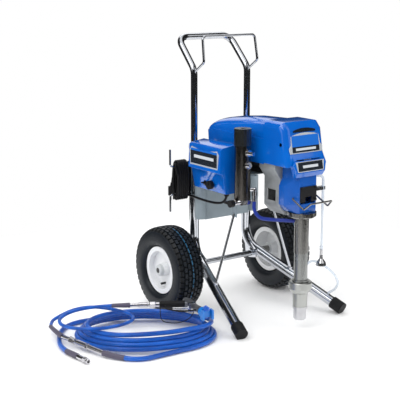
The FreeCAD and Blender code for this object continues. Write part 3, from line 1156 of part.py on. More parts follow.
NODES = [frame_left, frame_right, foot_caps, axle_beam, axle_shaft, struts, handle_collars, handle_tube,
         hose_rack, *wheels,
         chassis, motor_housing, motor_rotor, intermediate_gear, crank_gear, gear_housing, drive_housing,
         rod_guard,
         connecting_rod, pump_rod, jam_nut, pump_sleeve, pump_cylinder, intake_housing, intake_strainer,
         pail_hook,
         motor_shroud, front_cover, name_plates, control_chassis, control_cover, pressure_knob,
         power_switch,
         filter_body, filter_cap, filter_element, fluid_fittings, prime_valve_lever, pump_hose, drain_line,
         drain_deflector,
         cord_hooks, cord_gland, cord_hank, cord_lead, cord_plug, hose_coil, hose_tail, whip_hose,
         hose_fittings,
         gun_body, gun_handle, gun_trigger, tip_guard, spray_tip]

doc.recompute()
for thing in doc.Objects:
    if "Invalid" in thing.State or "Error" in thing.State:
        raise SystemExit("%s failed: %s" % (thing.Name, thing.State))
os.makedirs("parts", exist_ok=True)
for node in NODES:
    node.Label = node.Name
    if node.Shape.isNull() or not node.Shape.isValid() or node.Shape.Volume <= 0:
        raise SystemExit("%s has no sound shape" % node.Name)
    node.Shape.exportStep("parts/%s.step" % node.Label)
print(len(NODES), "nodes written")
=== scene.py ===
import json
import math

import bmesh
import bpy
import numpy as np
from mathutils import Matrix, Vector


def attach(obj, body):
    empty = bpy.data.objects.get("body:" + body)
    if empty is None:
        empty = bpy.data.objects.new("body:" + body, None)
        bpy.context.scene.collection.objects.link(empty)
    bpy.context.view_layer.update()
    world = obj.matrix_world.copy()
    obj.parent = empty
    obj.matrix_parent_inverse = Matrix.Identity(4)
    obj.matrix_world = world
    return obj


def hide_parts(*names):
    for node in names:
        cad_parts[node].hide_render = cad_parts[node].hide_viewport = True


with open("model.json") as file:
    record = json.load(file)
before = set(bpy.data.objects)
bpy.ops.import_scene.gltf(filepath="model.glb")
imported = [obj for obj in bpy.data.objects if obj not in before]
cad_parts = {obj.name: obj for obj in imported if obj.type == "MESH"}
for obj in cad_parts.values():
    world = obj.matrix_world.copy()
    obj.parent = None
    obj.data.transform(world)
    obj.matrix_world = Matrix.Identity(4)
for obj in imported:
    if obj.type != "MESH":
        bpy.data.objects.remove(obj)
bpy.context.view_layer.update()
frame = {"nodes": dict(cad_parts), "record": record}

nodes = frame["nodes"]
print("frame loaded:", len(nodes), "nodes")

# ---- camera and lights

view = {"azimuth": -35.81, "elevation": 12.55, "distance": 3.995, "target": (0.0142, 0.1799, 0.3569),
        "lens": 89.4, "sensor": 36}


def lookFrom(azimuth, elevation, distance, target):
    turn, lift = math.radians(azimuth), math.radians(elevation)
    away = Vector((math.sin(turn) * math.cos(lift), -math.cos(turn) * math.cos(lift), math.sin(lift)))
    place = Vector(target) + away * distance
    return place, (-away).to_track_quat("-Z", "Y").to_euler()


def addObject(name, data):
    made = bpy.data.objects.new(name, data)
    bpy.context.scene.collection.objects.link(made)
    return made


camera = addObject("camera", bpy.data.cameras.new("camera"))
camera.location, camera.rotation_euler = lookFrom(
    view["azimuth"], view["elevation"], view["distance"], view["target"])
camera.data.lens = view["lens"]
camera.data.sensor_width = view["sensor"]
bpy.context.scene.camera = camera

# lamps: azimuth and elevation in degrees, distance, size and power, all aimed at one point; soft
# boxes: azimuth, elevation and the angles where each starts and ends its fade
studio = {"aim": (0, -0.1, 0.4),
          "lamps": {"keyLight": (-75, 50, 3.2, (2.2, 1.6), 34),
                    "fillLight": (25, 35, 3.4, (2.0, 2.0), 10),
                    "backLight": (150, 55, 3.2, (2.6, 1.2), 16)},
          "softBoxes": [(-100, 22, 8, 18), (12, 18, 4, 11), (150, 25, 8, 20), (-30, 84, 16, 40)],
          "darkGap": 0.02, "boxGlow": 1.15, "skyStrength": 1.04, "paper": 1.0,
          "floorHalf": 1.35, "floorTop": -0.0006, "floorColour": (0.98, 0.98, 0.98), "floorRoughness": 0.9}


def areaLight(name, azimuth, elevation, distance, size, power):
    lamp = bpy.data.lights.new(name, "AREA")
    lamp.shape = "RECTANGLE"
    lamp.size, lamp.size_y = size
    lamp.energy = power
    holder = addObject(name, lamp)
    holder.location, holder.rotation_euler = lookFrom(azimuth, elevation, distance, studio["aim"])


for lampName, lampSettings in studio["lamps"].items():
    areaLight(lampName, *lampSettings)

# ---- shader sums


class Wire:
    # one output socket; sums on it add Math nodes
    def __init__(self, finish, socket):
        self.finish, self.socket = finish, socket

    def math(self, kind, *others):
        return self.finish.node("Math", {"operation": kind}, dict(enumerate((self, *others))))

    def __add__(self, other):
        return self.math("ADD", other)

    def __sub__(self, other):
        return self.math("SUBTRACT", other)

    def __rsub__(self, other):
        return self.finish.node("Math", {"operation": "SUBTRACT"}, {0: other, 1: self})

    def __mul__(self, other):
        return self.math("MULTIPLY", other)

    def __truediv__(self, other):
        return self.math("DIVIDE", other)

    def step(self, low, high):
        # smooth 0 to 1 as the value goes from low to high
        return self.finish.node("MapRange", {"interpolation_type": "SMOOTHSTEP"},
                                {0: self, 1: low, 2: high, 3: 0.0, 4: 1.0})

    __radd__ = __add__
    __rmul__ = __mul__


class Finish:
    def __init__(self, name, colour, roughness=0.5, metallic=0.0, coat=0.0):
        self.material = bpy.data.materials.new(name)
        self.material.use_nodes = True
        self.tree = self.material.node_tree
        self.shader = self.tree.nodes["Principled BSDF"]
        self.set("Base Color", (*colour, 1))
        self.set("Roughness", roughness)
        self.set("Metallic", metallic)
        self.set("Coat Weight", coat)
        self.place = self.node("TexCoord", {}, {}, "Object")

    def plug(self, socket, item):
        if isinstance(item, Wire):
            self.tree.links.new(item.socket, socket)
        else:
            socket.default_value = item

    def node(self, kind, settings, inputs, out=0):
        made = self.tree.nodes.new("ShaderNode" + kind)
        for key, setting in settings.items():
            setattr(made, key, setting)
        for key, item in inputs.items():
            self.plug(made.inputs[key], item)
        return Wire(self, made.outputs[out])

    def set(self, socket, item):
        self.plug(self.shader.inputs[socket], item)

    def axes(self):
        split = self.node("SeparateXYZ", {}, {0: self.place})
        return [Wire(self, split.socket.node.outputs[i]) for i in range(3)]

    def noise(self, scale, detail=3.0, stretch=None):
        place = self.place
        if stretch:
            place = self.node("Mapping", {}, {"Vector": place, "Scale": stretch})
        return self.node("TexNoise", {}, {"Vector": place, "Scale": scale, "Detail": detail}, 0)

    def mix(self, share, first, second):
        first, second = [item if isinstance(item, Wire) else (*item, 1) for item in (first, second)]
        return self.node("Mix", {"data_type": "RGBA"}, {0: share, 6: first, 7: second}, 2)

    def bump(self, height, depth, strength=1.0):
        self.set("Normal", self.node("Bump", {}, {"Height": height, "Distance": depth,
                                                  "Strength": strength}))


def shade(colour, share, lift=0.0):
    return tuple(channel * share + lift for channel in colour)


def enamel(name, colour, dark, roughness, coat=0.0, grain=0.00012):
    # sprayed or moulded skin: slow colour drift, faint orange peel and scuffs
    f = Finish(name, colour, roughness, 0.0, coat)
    drift = f.noise(9, 3)
    scuff = f.noise(60, 6).step(0.62, 0.75)
    f.set("Base Color", f.mix(drift.step(0.3, 0.75) * 0.45, colour, dark))
    f.set("Roughness", scuff * 0.12 + roughness)
    f.bump(f.noise(420, 2), grain)
    return f.material


def plated(name, colour, roughness, stretch=(1, 1, 1)):
    # bright metal with fine drawn lines and slightly dull patches
    f = Finish(name, colour, roughness, 1.0)
    lines = f.noise(260, 4, stretch)
    dull = f.noise(14, 4).step(0.45, 0.8)
    f.set("Base Color", f.mix(dull * 0.35, colour, shade(colour, 0.62)))
    f.set("Roughness", lines * 0.1 + dull * 0.1 + (roughness - 0.05))
    f.bump(lines, 0.00008)
    return f.material


def turned(name, colour, roughness, pitch=0.0011):
    # lathe rings along the upright axis
    f = Finish(name, colour, roughness, 1.0)
    z = f.axes()[2]
    rings = (z * (2 * math.pi / pitch)).math("SINE")
    stain = f.noise(9, 5, (1, 1, 0.25)).step(0.35, 0.8)
    f.set("Base Color", f.mix(stain * 0.3, colour, shade(colour, 0.6)))
    f.set("Roughness", stain * 0.08 + roughness)
    f.bump(rings * 0.5 + f.noise(500, 3), 0.00005)
    return f.material


def sandCast(name, colour, roughness=0.5, metallic=0.85):
    f = Finish(name, colour, roughness, metallic)
    grit = f.noise(650, 4)
    f.set("Base Color", f.mix(f.noise(30, 4).step(0.35, 0.7) * 0.5, colour, shade(colour, 0.6)))
    f.set("Roughness", grit * 0.25 + (roughness - 0.1))
    f.bump(grit, 0.0003)
    return f.material


def plastic(name, colour, roughness=0.45):
    f = Finish(name, colour, roughness)
    f.set("Specular IOR Level", 0.25)
    grain = f.noise(900, 3)
    dust = f.noise(35, 5).step(0.5, 0.8)
    f.set("Base Color", f.mix(dust * 0.25, colour, shade(colour, 1.6, 0.02)))
    f.set("Roughness", dust * 0.12 + roughness)
    f.bump(grain, 0.00015)
    return f.material


axleHeight = 0.162
# the depth, middle and half-width entries after grooveTop place the painted blue sheen line, a painted
# highlight, along the tyre crown
tyreRings = {"sideOut": 0.135, "sideIn": 0.15, "treadStart": (0.146, 0.15), "grooveTop": (0.1545, 0.1605),
             "sheenDepth": (0.1585, 0.1595), "middle": 0.2595, "sheenHalf": (0.0012, 0.002)}


def tyreRubber():
    # painted shade: the grooves darker, and the sides a little darker towards the rim; a painted highlight:
    # a thin blue sheen line round the middle of the crown, broken up in places
    colour, grooveShadeSideDark, blue = (0.009, 0.013, 0.019), (0.003, 0.004, 0.005), (0.02, 0.16, 0.32)
    f = Finish("tyreRubber", colour, 0.5)
    f.set("Specular IOR Level", 0.36)
    x, y, z = f.axes()
    high = z - axleHeight
    radius = (y * y + high * high).math("SQRT")
    # groove masks the recesses between the tread blocks, where painted shade goes
    groove = (1 - radius.step(*tyreRings["grooveTop"])) * radius.step(*tyreRings["treadStart"])
    side = 1 - radius.step(tyreRings["sideOut"], tyreRings["sideIn"])
    fromMiddle = (x.math("ABSOLUTE") - tyreRings["middle"]).math("ABSOLUTE")
    # painted highlight: a thin blue sheen line on the block tops in the middle of the crown, broken up by
    # noise
    sheenPatches = f.noise(30, 2).step(0.42, 0.5)
    line = radius.step(*tyreRings["sheenDepth"]) * (1 - fromMiddle.step(*tyreRings["sheenHalf"])) * sheenPatches
    # painted shade: the grooves darkened strongly, the sides a little darker towards the rim
    grooveShadedSideDarkened = f.mix(groove * 0.9 + side * 0.2, colour, grooveShadeSideDark)
    f.set("Base Color", f.mix(line * 0.8, grooveShadedSideDarkened, blue))
    f.set("Roughness", f.noise(120, 4) * 0.25 + 0.34)
    letters = (radius * 900).math("SINE") * side
    f.bump(f.noise(700, 3) + letters * 0.4, 0.00035)
    return f.material


def braid(name, colour, dark, across, along):
    # a woven jacket under a clear skin; the pattern follows the tube's own map
    f = Finish(name, colour, 0.32, 0.0, 0.35)
    f.place = f.node("TexCoord", {}, {}, "UV")
    u, v = f.axes()[:2]
    left = (u * across + v * along).math("SINE")
    right = (u * across - v * along).math("SINE")
    weave = left.math("MAXIMUM", right).step(0.1, 0.95)
    f.set("Base Color", f.mix(weave, dark, colour))
    f.set("Roughness", 0.42 - weave * 0.14)
    f.bump(weave, 0.00035)
    return f.material


paints = {
    "frame_chrome": plated("chromedTube", (0.6, 0.62, 0.66), 0.09, (1, 1, 0.05)),
    "rubber_black": plastic("blackRubber", (0.008, 0.008, 0.009), 0.55),
    "tyre": tyreRubber(),
    "rim_white": enamel("whiteEnamel", (0.84, 0.85, 0.86), (0.7, 0.71, 0.72), 0.32, 0.3),
    "hub_black": plastic("hubPlastic", (0.008, 0.008, 0.009), 0.4),
    "chassis_grey": enamel("paleCoat", (0.3, 0.36, 0.4), (0.2, 0.25, 0.28), 0.4, 0.0, 0.0003),
    "cast_grey": sandCast("castAluminium", (0.42, 0.44, 0.45), 0.5, 0.6),
    "drive_blue": enamel("castingEnamel", (0.001, 0.1, 0.47), (0.001, 0.05, 0.29), 0.26, 0.5, 0.0005),
    "cover_blue": enamel("coverMoulding", (0.0005, 0.125, 0.56), (0.0005, 0.07, 0.38), 0.12, 0.7),
    "steel": turned("turnedSteel", (0.3, 0.295, 0.28), 0.2),
    "chrome": plated("platedSteel", (0.78, 0.78, 0.8), 0.16),
    "motor_black": enamel("motorShell", (0.012, 0.012, 0.014), (0.008, 0.008, 0.008), 0.4, 0.0, 0.0004),
    "guard": plated("pressedSteel", (0.66, 0.66, 0.68), 0.3),
    "box_grey": enamel("boxCoat", (0.42, 0.44, 0.47), (0.3, 0.32, 0.35), 0.5, 0.0, 0.0003),
    "black_plastic": plastic("blackPlastic", (0.008, 0.008, 0.009), 0.34),
    "hose_black": enamel("pumpHoseSkin", (0.006, 0.03, 0.3), (0.004, 0.015, 0.16), 0.35),
    "cord_black": plastic("cordRubber", (0.006, 0.006, 0.007), 0.42),
    "fitting": plated("platedFitting", (0.66, 0.65, 0.68), 0.2),
    "gun_grey": sandCast("gunCasting", (0.3, 0.31, 0.34), 0.42),
    "trigger": plated("triggerSteel", (0.75, 0.76, 0.78), 0.24),
    "guard_blue": enamel("azurePlastic", (0.006, 0.2, 0.66), (0.004, 0.14, 0.5), 0.3, 0.4),
    "tip_blue": enamel("tipPlastic", (0.02, 0.14, 0.62), (0.015, 0.1, 0.45), 0.3, 0.4),
}


def clearTube():
    f = Finish("clearTube", (0.72, 0.8, 0.9), 0.12, 0.0, 0.5)
    f.set("Alpha", f.noise(60, 3) * 0.12 + 0.5)
    return f.material


# heights, half widths and lengths of the coloured fields and of the plain bars inside them
badges = {"frontOf": (-0.36, -0.34), "blur": 0.001,
          "upper": (0.6445, 0.702, 0.061), "upperDark": (0.664, 0.666), "upperBar": (0.651, 0.659, 0.045),
          "lower": (0.5835, 0.614, 0.0555), "lowerBar": (0.594, 0.603, 0.034),
          "label": (0.5685, 0.6245, 0.0015), "labelDark": (0.616, 0.618), "labelBar": (0.591, 0.602),
          "labelAlong": (-0.2175, -0.057, 0.0015), "labelBarAlong": (-0.197, -0.078),
          "grilleFrom": (0.712, 0.7125)}


def badgePanels():
    # silver plates with coloured fields and a plain bar inside, told apart by where they are
    silver, blue, dark = (0.62, 0.66, 0.7), (0.003, 0.14, 0.6), (0.012, 0.018, 0.026)
    f = Finish("badgePanels", silver, 0.26, 0.3, 0.5)
    x, y, z = f.axes()
    side = x.math("ABSOLUTE")

    def band(value, low, high, blur=badges["blur"]):
        return value.step(low, low + blur) - value.step(high, high + blur)

    def frontField(low, high, half):
        return band(z, low, high) * (1 - side.step(half, half + badges["blur"]))

    front = 1 - y.step(*badges["frontOf"])
    upper = front * frontField(*badges["upper"])
    lower = front * frontField(*badges["lower"])
    label = (1 - front) * band(z, *badges["label"]) * band(y, *badges["labelAlong"])
    darkField = (lower + label * (1 - z.step(*badges["labelDark"]))
                 + upper * (1 - z.step(*badges["upperDark"])))
    bars = (upper * frontField(*badges["upperBar"]) + lower * frontField(*badges["lowerBar"])
            + label * band(z, *badges["labelBar"]) * band(y, *badges["labelBarAlong"]))
    field = f.mix(upper + lower + label, silver, f.mix(darkField, blue, dark))
    field = f.mix(bars, field, silver)
    grille = front * z.step(*badges["grilleFrom"])
    f.set("Base Color", f.mix(grille, field, dark))
    f.set("Metallic", 0.35 - (upper + lower + label) * 0.3)
    f.bump(f.noise(500, 2), 0.0001)
    return f.material


paints["clear_tube"] = clearTube()
paints["badge"] = badgePanels()
hoseJacket = braid("hoseJacket", (0.001, 0.15, 0.72), (0.001, 0.055, 0.36), 50.3, 2600)

for part in frame["record"]["subparts"]:
    piece = nodes.get(part["node"])
    if piece and part["material_slot"] in paints:
        piece.data.materials.clear()
        piece.data.materials.append(paints[part["material_slot"]])

hub = {"boltEdge": (0.0098, 0.0106), "bossEdge": (0.030, 0.031)}


def hubPaint():
    # a light boss round the axle with a dark bolt in its middle
    pale, dull, dark = (0.62, 0.64, 0.65), (0.4, 0.42, 0.43), (0.01, 0.01, 0.011)
    f = Finish("hubBoss", pale, 0.4)
    x, y, z = f.axes()
    high = z - axleHeight
    radius = (y * y + high * high).math("SQRT")
    outsideBoss = 1 - radius.step(*hub["boltEdge"]) + radius.step(*hub["bossEdge"])
    f.set("Base Color", f.mix(outsideBoss, f.mix(f.noise(60, 4) * 0.3, pale, dull), dark))
    f.bump(f.noise(600, 3), 0.0001)
    return f.material


hubBoss = hubPaint()
ownFinish = {
    "wheel_left_hub": hubBoss,
    "wheel_right_hub": hubBoss,
    "handle_collars": enamel("collarPlastic", (0.78, 0.79, 0.8), (0.6, 0.61, 0.62), 0.4),
    "intake_housing": turned("blastedSteel", (0.5, 0.51, 0.49), 0.34, 0.004),
    "pump_cylinder": turned("greySteel", (0.36, 0.37, 0.36), 0.26),
    "filter_body": turned("darkSteel", (0.2, 0.185, 0.17), 0.15),
    "filter_cap": turned("dullSteel", (0.2, 0.21, 0.205), 0.26, 0.006),
    "rod_guard": paints["motor_black"],
}
for name, item in ownFinish.items():
    nodes[name].data.materials.clear()
    nodes[name].data.materials.append(item)
print("materials made")

# ---- mouldings and castings with rounded edges

# the width of each piece's rounding and how many steps it has
rounding = {"front_cover": (0.008, 4), "control_cover": (0.006, 4), "drive_housing": (0.004, 3),
            "gear_housing": (0.004, 3)}
edgeRules = {"samePoint": 0.00002, "flat": 1.5, "sharp": 14, "narrowest": 0.03, "shownSharp": 32}


def roundedCopy(node, width, segments):
    # the node's mesh merged, its flat faces joined, and the outward edges between large faces rounded
    source = nodes[node]
    mesh = source.data.copy()
    mesh.name = node + "Rounded"
    form = bmesh.new()
    form.from_mesh(mesh)
    bmesh.ops.remove_doubles(form, verts=form.verts, dist=edgeRules["samePoint"])
    bmesh.ops.dissolve_limit(form, angle_limit=math.radians(edgeRules["flat"]), verts=form.verts,
                             edges=form.edges)
    edges = [edge for edge in form.edges
             if len(edge.link_faces) == 2
             and edge.calc_face_angle_signed() > math.radians(edgeRules["sharp"])
             and edge.calc_length() > width
             and min(face.calc_area() for face in edge.link_faces) > width * edgeRules["narrowest"]]
    bmesh.ops.bevel(form, geom=edges, offset=width, offset_type="OFFSET", segments=segments, profile=0.5,
                    affect="EDGES", clamp_overlap=True)
    form.to_mesh(mesh)
    form.free()
    mesh.polygons.foreach_set("use_smooth", np.ones(len(mesh.polygons), bool))
    mesh.set_sharp_from_angle(angle=math.radians(edgeRules["shownSharp"]))
    piece = addObject(node + "Rounded", mesh)
    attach(piece, "cart")
    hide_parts(node)


for node, (width, segments) in rounding.items():
    roundedCopy(node, width, segments)
print("edges rounded")

# ---- surfaces worked out on grids


def gridMesh(name, points, material, closedRows=True, smooth=40):
    # points is rows x columns x 3; each row is a ring, and the rows join up too where they are
    # closed or are ended with one flat face each; known fault: this corner order turns the faces inwards
    rows, columns = points.shape[:2]
    i, j = np.meshgrid(np.arange(rows if closedRows else rows - 1), np.arange(columns), indexing="ij")
    nextI, nextJ = (i + 1) % rows, (j + 1) % columns
    quads = np.stack([i * columns + j, i * columns + nextJ, nextI * columns + nextJ, nextI * columns + j],
                     -1).reshape(-1, 4)
    faces = quads.tolist()
    if not closedRows:
        faces.append(list(range(columns))[::-1])
        faces.append(list(range((rows - 1) * columns, rows * columns)))
    mesh = bpy.data.meshes.new(name)
    mesh.from_pydata(points.reshape(-1, 3), [], faces)
    layer = mesh.uv_layers.new(name="map")
    u = np.stack([j, j + 1, j + 1, j], -1) / columns
    v = np.stack([i, i, i + 1, i + 1], -1) / rows
    spots = np.zeros((len(mesh.loops), 2))
    spots[:quads.size] = np.stack([u, v], -1).reshape(-1, 2)
    layer.data.foreach_set("uv", spots.ravel())
    mesh.polygons.foreach_set("use_smooth", np.ones(len(mesh.polygons), bool))
    mesh.materials.append(material)
    mesh.update()
    mesh.set_sharp_from_angle(angle=math.radians(smooth))
    return addObject(name, mesh)


def unit(way):
    way = np.asarray(way, float)
    return way / np.linalg.norm(way, axis=-1, keepdims=True)


def tubeRings(line, radii, segments):
    # rings square to a line: across is tangent x up, and each ring is radius times cos and sin of the turn
    line = np.asarray(line, float)
    tangent = unit(np.gradient(line, axis=0))
    across = unit(np.cross(tangent, (0, 0, 1)))
    over = np.cross(across, tangent)
    turn = np.linspace(0, 2 * np.pi, segments, endpoint=False)
    ring = np.cos(turn)[None, :, None] * across[:, None] + np.sin(turn)[None, :, None] * over[:, None]
    return line[:, None] + ring * np.asarray(radii, float)[:, None, None]


def ringsAlong(start, way, profile, turn):
    # rings about a straight axis: profile holds distance along and radius
    way, profile = unit(way), np.asarray(profile, float)
    across = unit(np.cross(way, (0, 0, 1)))
    over = np.cross(across, way)
    ring = np.cos(turn)[:, None] * across + np.sin(turn)[:, None] * over
    return np.asarray(start, float) + profile[:, :1, None] * way + profile[:, 1:, None] * ring[None]


def lathe(name, start, way, profile, material, segments=40):
    # a turned piece whose ends close at the last rings
    turn = np.linspace(0, 2 * np.pi, segments, endpoint=False)
    return gridMesh(name, ringsAlong(start, way, profile, turn), material, closedRows=False, smooth=35)


def splineCurve(name, points, diameter, material):
    curve = bpy.data.curves.new(name, "CURVE")
    curve.dimensions = "3D"
    line = curve.splines.new("NURBS")
    line.points.add(len(points) - 1)
    line.points.foreach_set("co", np.column_stack([points, np.ones(len(points))]).ravel())
    line.order_u = 3
    line.use_endpoint_u = True
    line.resolution_u = 6
    curve.bevel_depth = diameter / 2
    curve.bevel_resolution = 5
    curve.use_fill_caps = True
    curve.materials.append(material)
    return addObject(name, curve)


# ---- power cord: lead from the gland, two layers of turns over the hooks, tail to the plug

powerCord = {"diameter": 0.009, "middle": (0.024, 0.49), "straight": 0.05, "near": -0.155, "far": -0.2185}


def hankTurns(radius, start, stop, turns, pointsPerTurn=14):
    # a stretched loop: a circle of that radius whose upper and lower halves stand apart, while x moves on
    share = np.arange(int(turns * pointsPerTurn) + 1) / pointsPerTurn
    turn = 2 * np.pi * share - np.pi / 2
    x = start + (stop - start) * share / turns
    y = powerCord["middle"][0] + radius * np.cos(turn)
    apart = powerCord["straight"] * np.clip(np.sin(turn) * 1.25, -1, 1)
    z = powerCord["middle"][1] + radius * np.sin(turn) + apart
    return np.column_stack([x, y, z])


# the turns' points nearest the joins are left out; the join to the tail still has a sharp corner
leadPoints = np.array([(-0.148, -0.208, 0.462), (-0.149, -0.200, 0.440), (-0.152, -0.164, 0.428),
                       (-0.155, -0.110, 0.425), (-0.156, -0.054, 0.426), (-0.155, 0.000, 0.4275)])
tailPoints = np.array([(-0.164, 0.049, 0.500), (-0.164, 0.084, 0.512), (-0.166, 0.112, 0.486),
                       (-0.166, 0.114, 0.446)])
innerTurns = hankTurns(0.0125, powerCord["near"], powerCord["far"], 7)
outerTurns = hankTurns(0.0222, powerCord["far"], -0.1645, 6.25)
cordLine = np.vstack([leadPoints, innerTurns[1:-5], outerTurns[10:-1], tailPoints])
powerLead = splineCurve("powerCord", cordLine, powerCord["diameter"], paints["cord_black"])
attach(powerLead, "cart")
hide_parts("cord_lead", "cord_hank")

# ---- spray hose: lead from the coupler, loose turns on the floor, tail to its connector

coil = {"centre": (-0.499, -0.199), "turn": -35.8, "long": 0.247, "short": 0.187,
        "stepIn": 0.0124, "rise": 0.0116, "floor": 0.0085, "diameter": 0.0164,
        "first": -76.0, "turns": 4.42, "pointsPerTurn": 20}


def coilTurns():
    # an oval round its centre that draws in and climbs with each turn, then crosses out over the
    # turns below it and comes down outside them
    share = np.arange(int(coil["turns"] * coil["pointsPerTurn"]) + 1) / coil["pointsPerTurn"]
    crossing = [0, 3.86, 3.98, 4.1, 4.22, 4.32, 4.42]
    inward = np.interp(share, crossing, [0, 3.86, 3.7, 2.7, 1.2, -0.3, -1.1]) * coil["stepIn"]
    height = np.interp(share, crossing, [0, 3.86, 4.6, 4.9, 3.9, 2.1, 0.6]) * coil["rise"] + coil["floor"]
    turn = math.radians(coil["first"]) + 2 * np.pi * share
    sway = 0.004 * np.sin(2 * turn + 0.6) + 0.003 * np.sin(3 * turn + 1.9)
    along = (coil["long"] - inward + sway) * np.cos(turn)
    aside = (coil["short"] - inward + sway) * np.sin(turn)
    tilt = math.radians(coil["turn"])
    x = coil["centre"][0] + along * math.cos(tilt) - aside * math.sin(tilt)
    y = coil["centre"][1] + along * math.sin(tilt) + aside * math.cos(tilt)
    return np.column_stack([x, y, height])


hoseLead = np.array([(-0.674, -0.344, 0.010), (-0.654, -0.370, 0.0086), (-0.612, -0.391, 0.0084),
                     (-0.560, -0.3925, 0.0084)])
hoseTail = np.array([(-0.535, 0.036, 0.0084), (-0.612, 0.058, 0.0084), (-0.680, 0.042, 0.0084),
                     (-0.733, -0.012, 0.0084), (-0.770, -0.078, 0.0084), (-0.793, -0.135, 0.009),
                     (-0.796, -0.186, 0.010)])
hoseLine = np.vstack([hoseLead, coilTurns()[1:], hoseTail])
sprayHose = splineCurve("sprayHose", hoseLine, coil["diameter"], hoseJacket)
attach(sprayHose, "cart")
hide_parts("hose_coil", "hose_tail")

whipPoints = np.array([(-0.550, -0.074, 0.092), (-0.595, -0.046, 0.090), (-0.655, -0.020, 0.085),
                       (-0.715, -0.022, 0.079), (-0.760, -0.055, 0.074), (-0.770, -0.110, 0.070),
                       (-0.735, -0.165, 0.070), (-0.675, -0.205, 0.070), (-0.600, -0.215, 0.070),
                       (-0.540, -0.195, 0.070), (-0.513, -0.145, 0.069), (-0.522, -0.088, 0.069),
                       (-0.545, -0.030, 0.069), (-0.585, 0.022, 0.069), (-0.640, 0.055, 0.060),
                       (-0.695, 0.062, 0.043), (-0.736, 0.048, 0.035), (-0.754, 0.010, 0.031)])
whipDiameter = 0.0124
whipHose = splineCurve("whipHose", whipPoints, whipDiameter, hoseJacket)
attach(whipHose, "cart")
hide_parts("whip_hose")

# fittings on the hoses: turned, hexagonal and sleeved pieces end to end along each axis

cuffRubber = plastic("cuffRubber", (0.10, 0.09, 0.13), 0.5)


def hexBar(name, start, way, length, radius, material):
    # six flats with the corners taken off at both ends
    turn = np.arange(12) * np.pi / 6 + np.array([-0.2, 0.2] * 6)
    steps = [(0, 0.86), (0, 0.9), (0.1, 1), (0.9, 1), (1, 0.9), (1, 0.86)]
    points = ringsAlong(start, way, np.array(steps) * (length, radius), turn)
    return gridMesh(name, points, material, closedRows=False, smooth=12)


def cuff(name, start, bend, stop, radius, slim):
    # a ribbed sleeve along a gentle bend: a quadratic between its ends, thinning towards the hose
    share = np.linspace(0, 1, 60)
    weights = np.column_stack([(1 - share) ** 2, 2 * share * (1 - share), share ** 2])
    ribs, ribDepth = 9, 0.05
    radii = radius * (1 - (1 - slim) * share) * (1 - ribDepth * (np.sin(share * 2 * np.pi * ribs) > 0.4))
    rings = tubeRings(weights @ np.array([start, bend, stop]), radii, 28)
    return gridMesh(name, rings, cuffRubber, closedRows=False, smooth=30)


def barrelSteps(name, start, way, steps, material):
    # cylinders end to end, each a length and a radius with a small chamfer
    profile, here, inner = [(0, steps[0][1] * 0.6)], 0.0, steps[-1][1] * 0.6
    for length, radius in steps:
        edge = min(0.0008, length / 4)
        there = here + length
        profile += [(here, radius - edge), (here + edge, radius), (there - edge, radius),
                    (there, radius - edge)]
        here = there
    profile.append((here, inner))
    return lathe(name, start, way, profile, material)


def fitting(pieces):
    for piece in pieces:
        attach(piece, "cart")
        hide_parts("hose_fittings")
    return pieces


platedSteel = paints["fitting"]
gripTurn, swivelLength = math.radians(148.2), 0.165
gripWay = np.array([math.cos(gripTurn), math.sin(gripTurn), 0])
gripEnd = whipPoints[0] - gripWay * swivelLength
swivelPieces = fitting([
    barrelSteps("swivelNut", gripEnd, gripWay, [(0.014, 0.009)], platedSteel),
    hexBar("swivelHex", gripEnd + gripWay * 0.014, gripWay, 0.022, 0.0115, platedSteel),
    barrelSteps("swivelBody", gripEnd + gripWay * 0.036, gripWay,
                [(0.006, 0.0075), (0.032, 0.0095), (0.031, 0.008)], platedSteel),
    cuff("swivelCuff", gripEnd + gripWay * 0.105, gripEnd + gripWay * 0.14, gripEnd + gripWay * 0.17,
         0.0092, 0.78)])

# the gun's wire guard: steps to the right, towards the front and up from the end of the grip;
# known fault: it passes through the trigger
wireDiameter = 0.003
wireAxes = np.array([(0.811, -0.585, 0), (-0.585, -0.811, 0), (0, 0, 1)])
wireSteps = np.array([(0.004, 0.010, 0.000), (0.003, 0.018, -0.010), (0.004, 0.042, -0.034),
                      (0.016, 0.056, -0.046), (0.045, 0.062, -0.048), (0.084, 0.058, -0.046),
                      (0.112, 0.042, -0.034), (0.124, 0.022, -0.018), (0.126, 0.010, -0.010)])
guardWire = splineCurve("gunGuardWire", gripEnd + wireSteps @ wireAxes, wireDiameter,
                        paints["black_plastic"])
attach(guardWire, "cart")

# the coupler between the whip and the main hose, then the main hose's free end
couplerStart, couplerEnd = np.array([-0.764, -0.092, 0.028]), np.array([-0.711, -0.277, 0.014])
couplerWay = unit(couplerEnd - couplerStart)
couplerLength = np.linalg.norm(couplerEnd - couplerStart)
couplerPieces = fitting([
    cuff("whipCuff", couplerStart, (-0.763, -0.040, 0.0295), whipPoints[-1] + (0, 0.004, 0), 0.009, 0.8),
    barrelSteps("whipFerrule", couplerStart, couplerWay, [(0.036, 0.008)], platedSteel),
    hexBar("couplerHex", couplerStart + couplerWay * 0.036, couplerWay, 0.026, 0.0118, platedSteel),
    barrelSteps("couplerBody", couplerStart + couplerWay * 0.062, couplerWay,
                [(0.010, 0.0085), (0.044, 0.0105)], platedSteel),
    hexBar("couplerNut", couplerStart + couplerWay * 0.116, couplerWay, 0.010, 0.0122, platedSteel),
    barrelSteps("hoseFerrule", couplerStart + couplerWay * 0.126, couplerWay,
                [(couplerLength - 0.126, 0.009)], platedSteel),
    cuff("leadCuff", couplerEnd, (-0.698, -0.312, 0.0118), hoseLead[0] + (0.003, -0.003, 0), 0.0098, 0.9)])
endWay = unit([11, -116, 1])
endStart = hoseTail[-1]
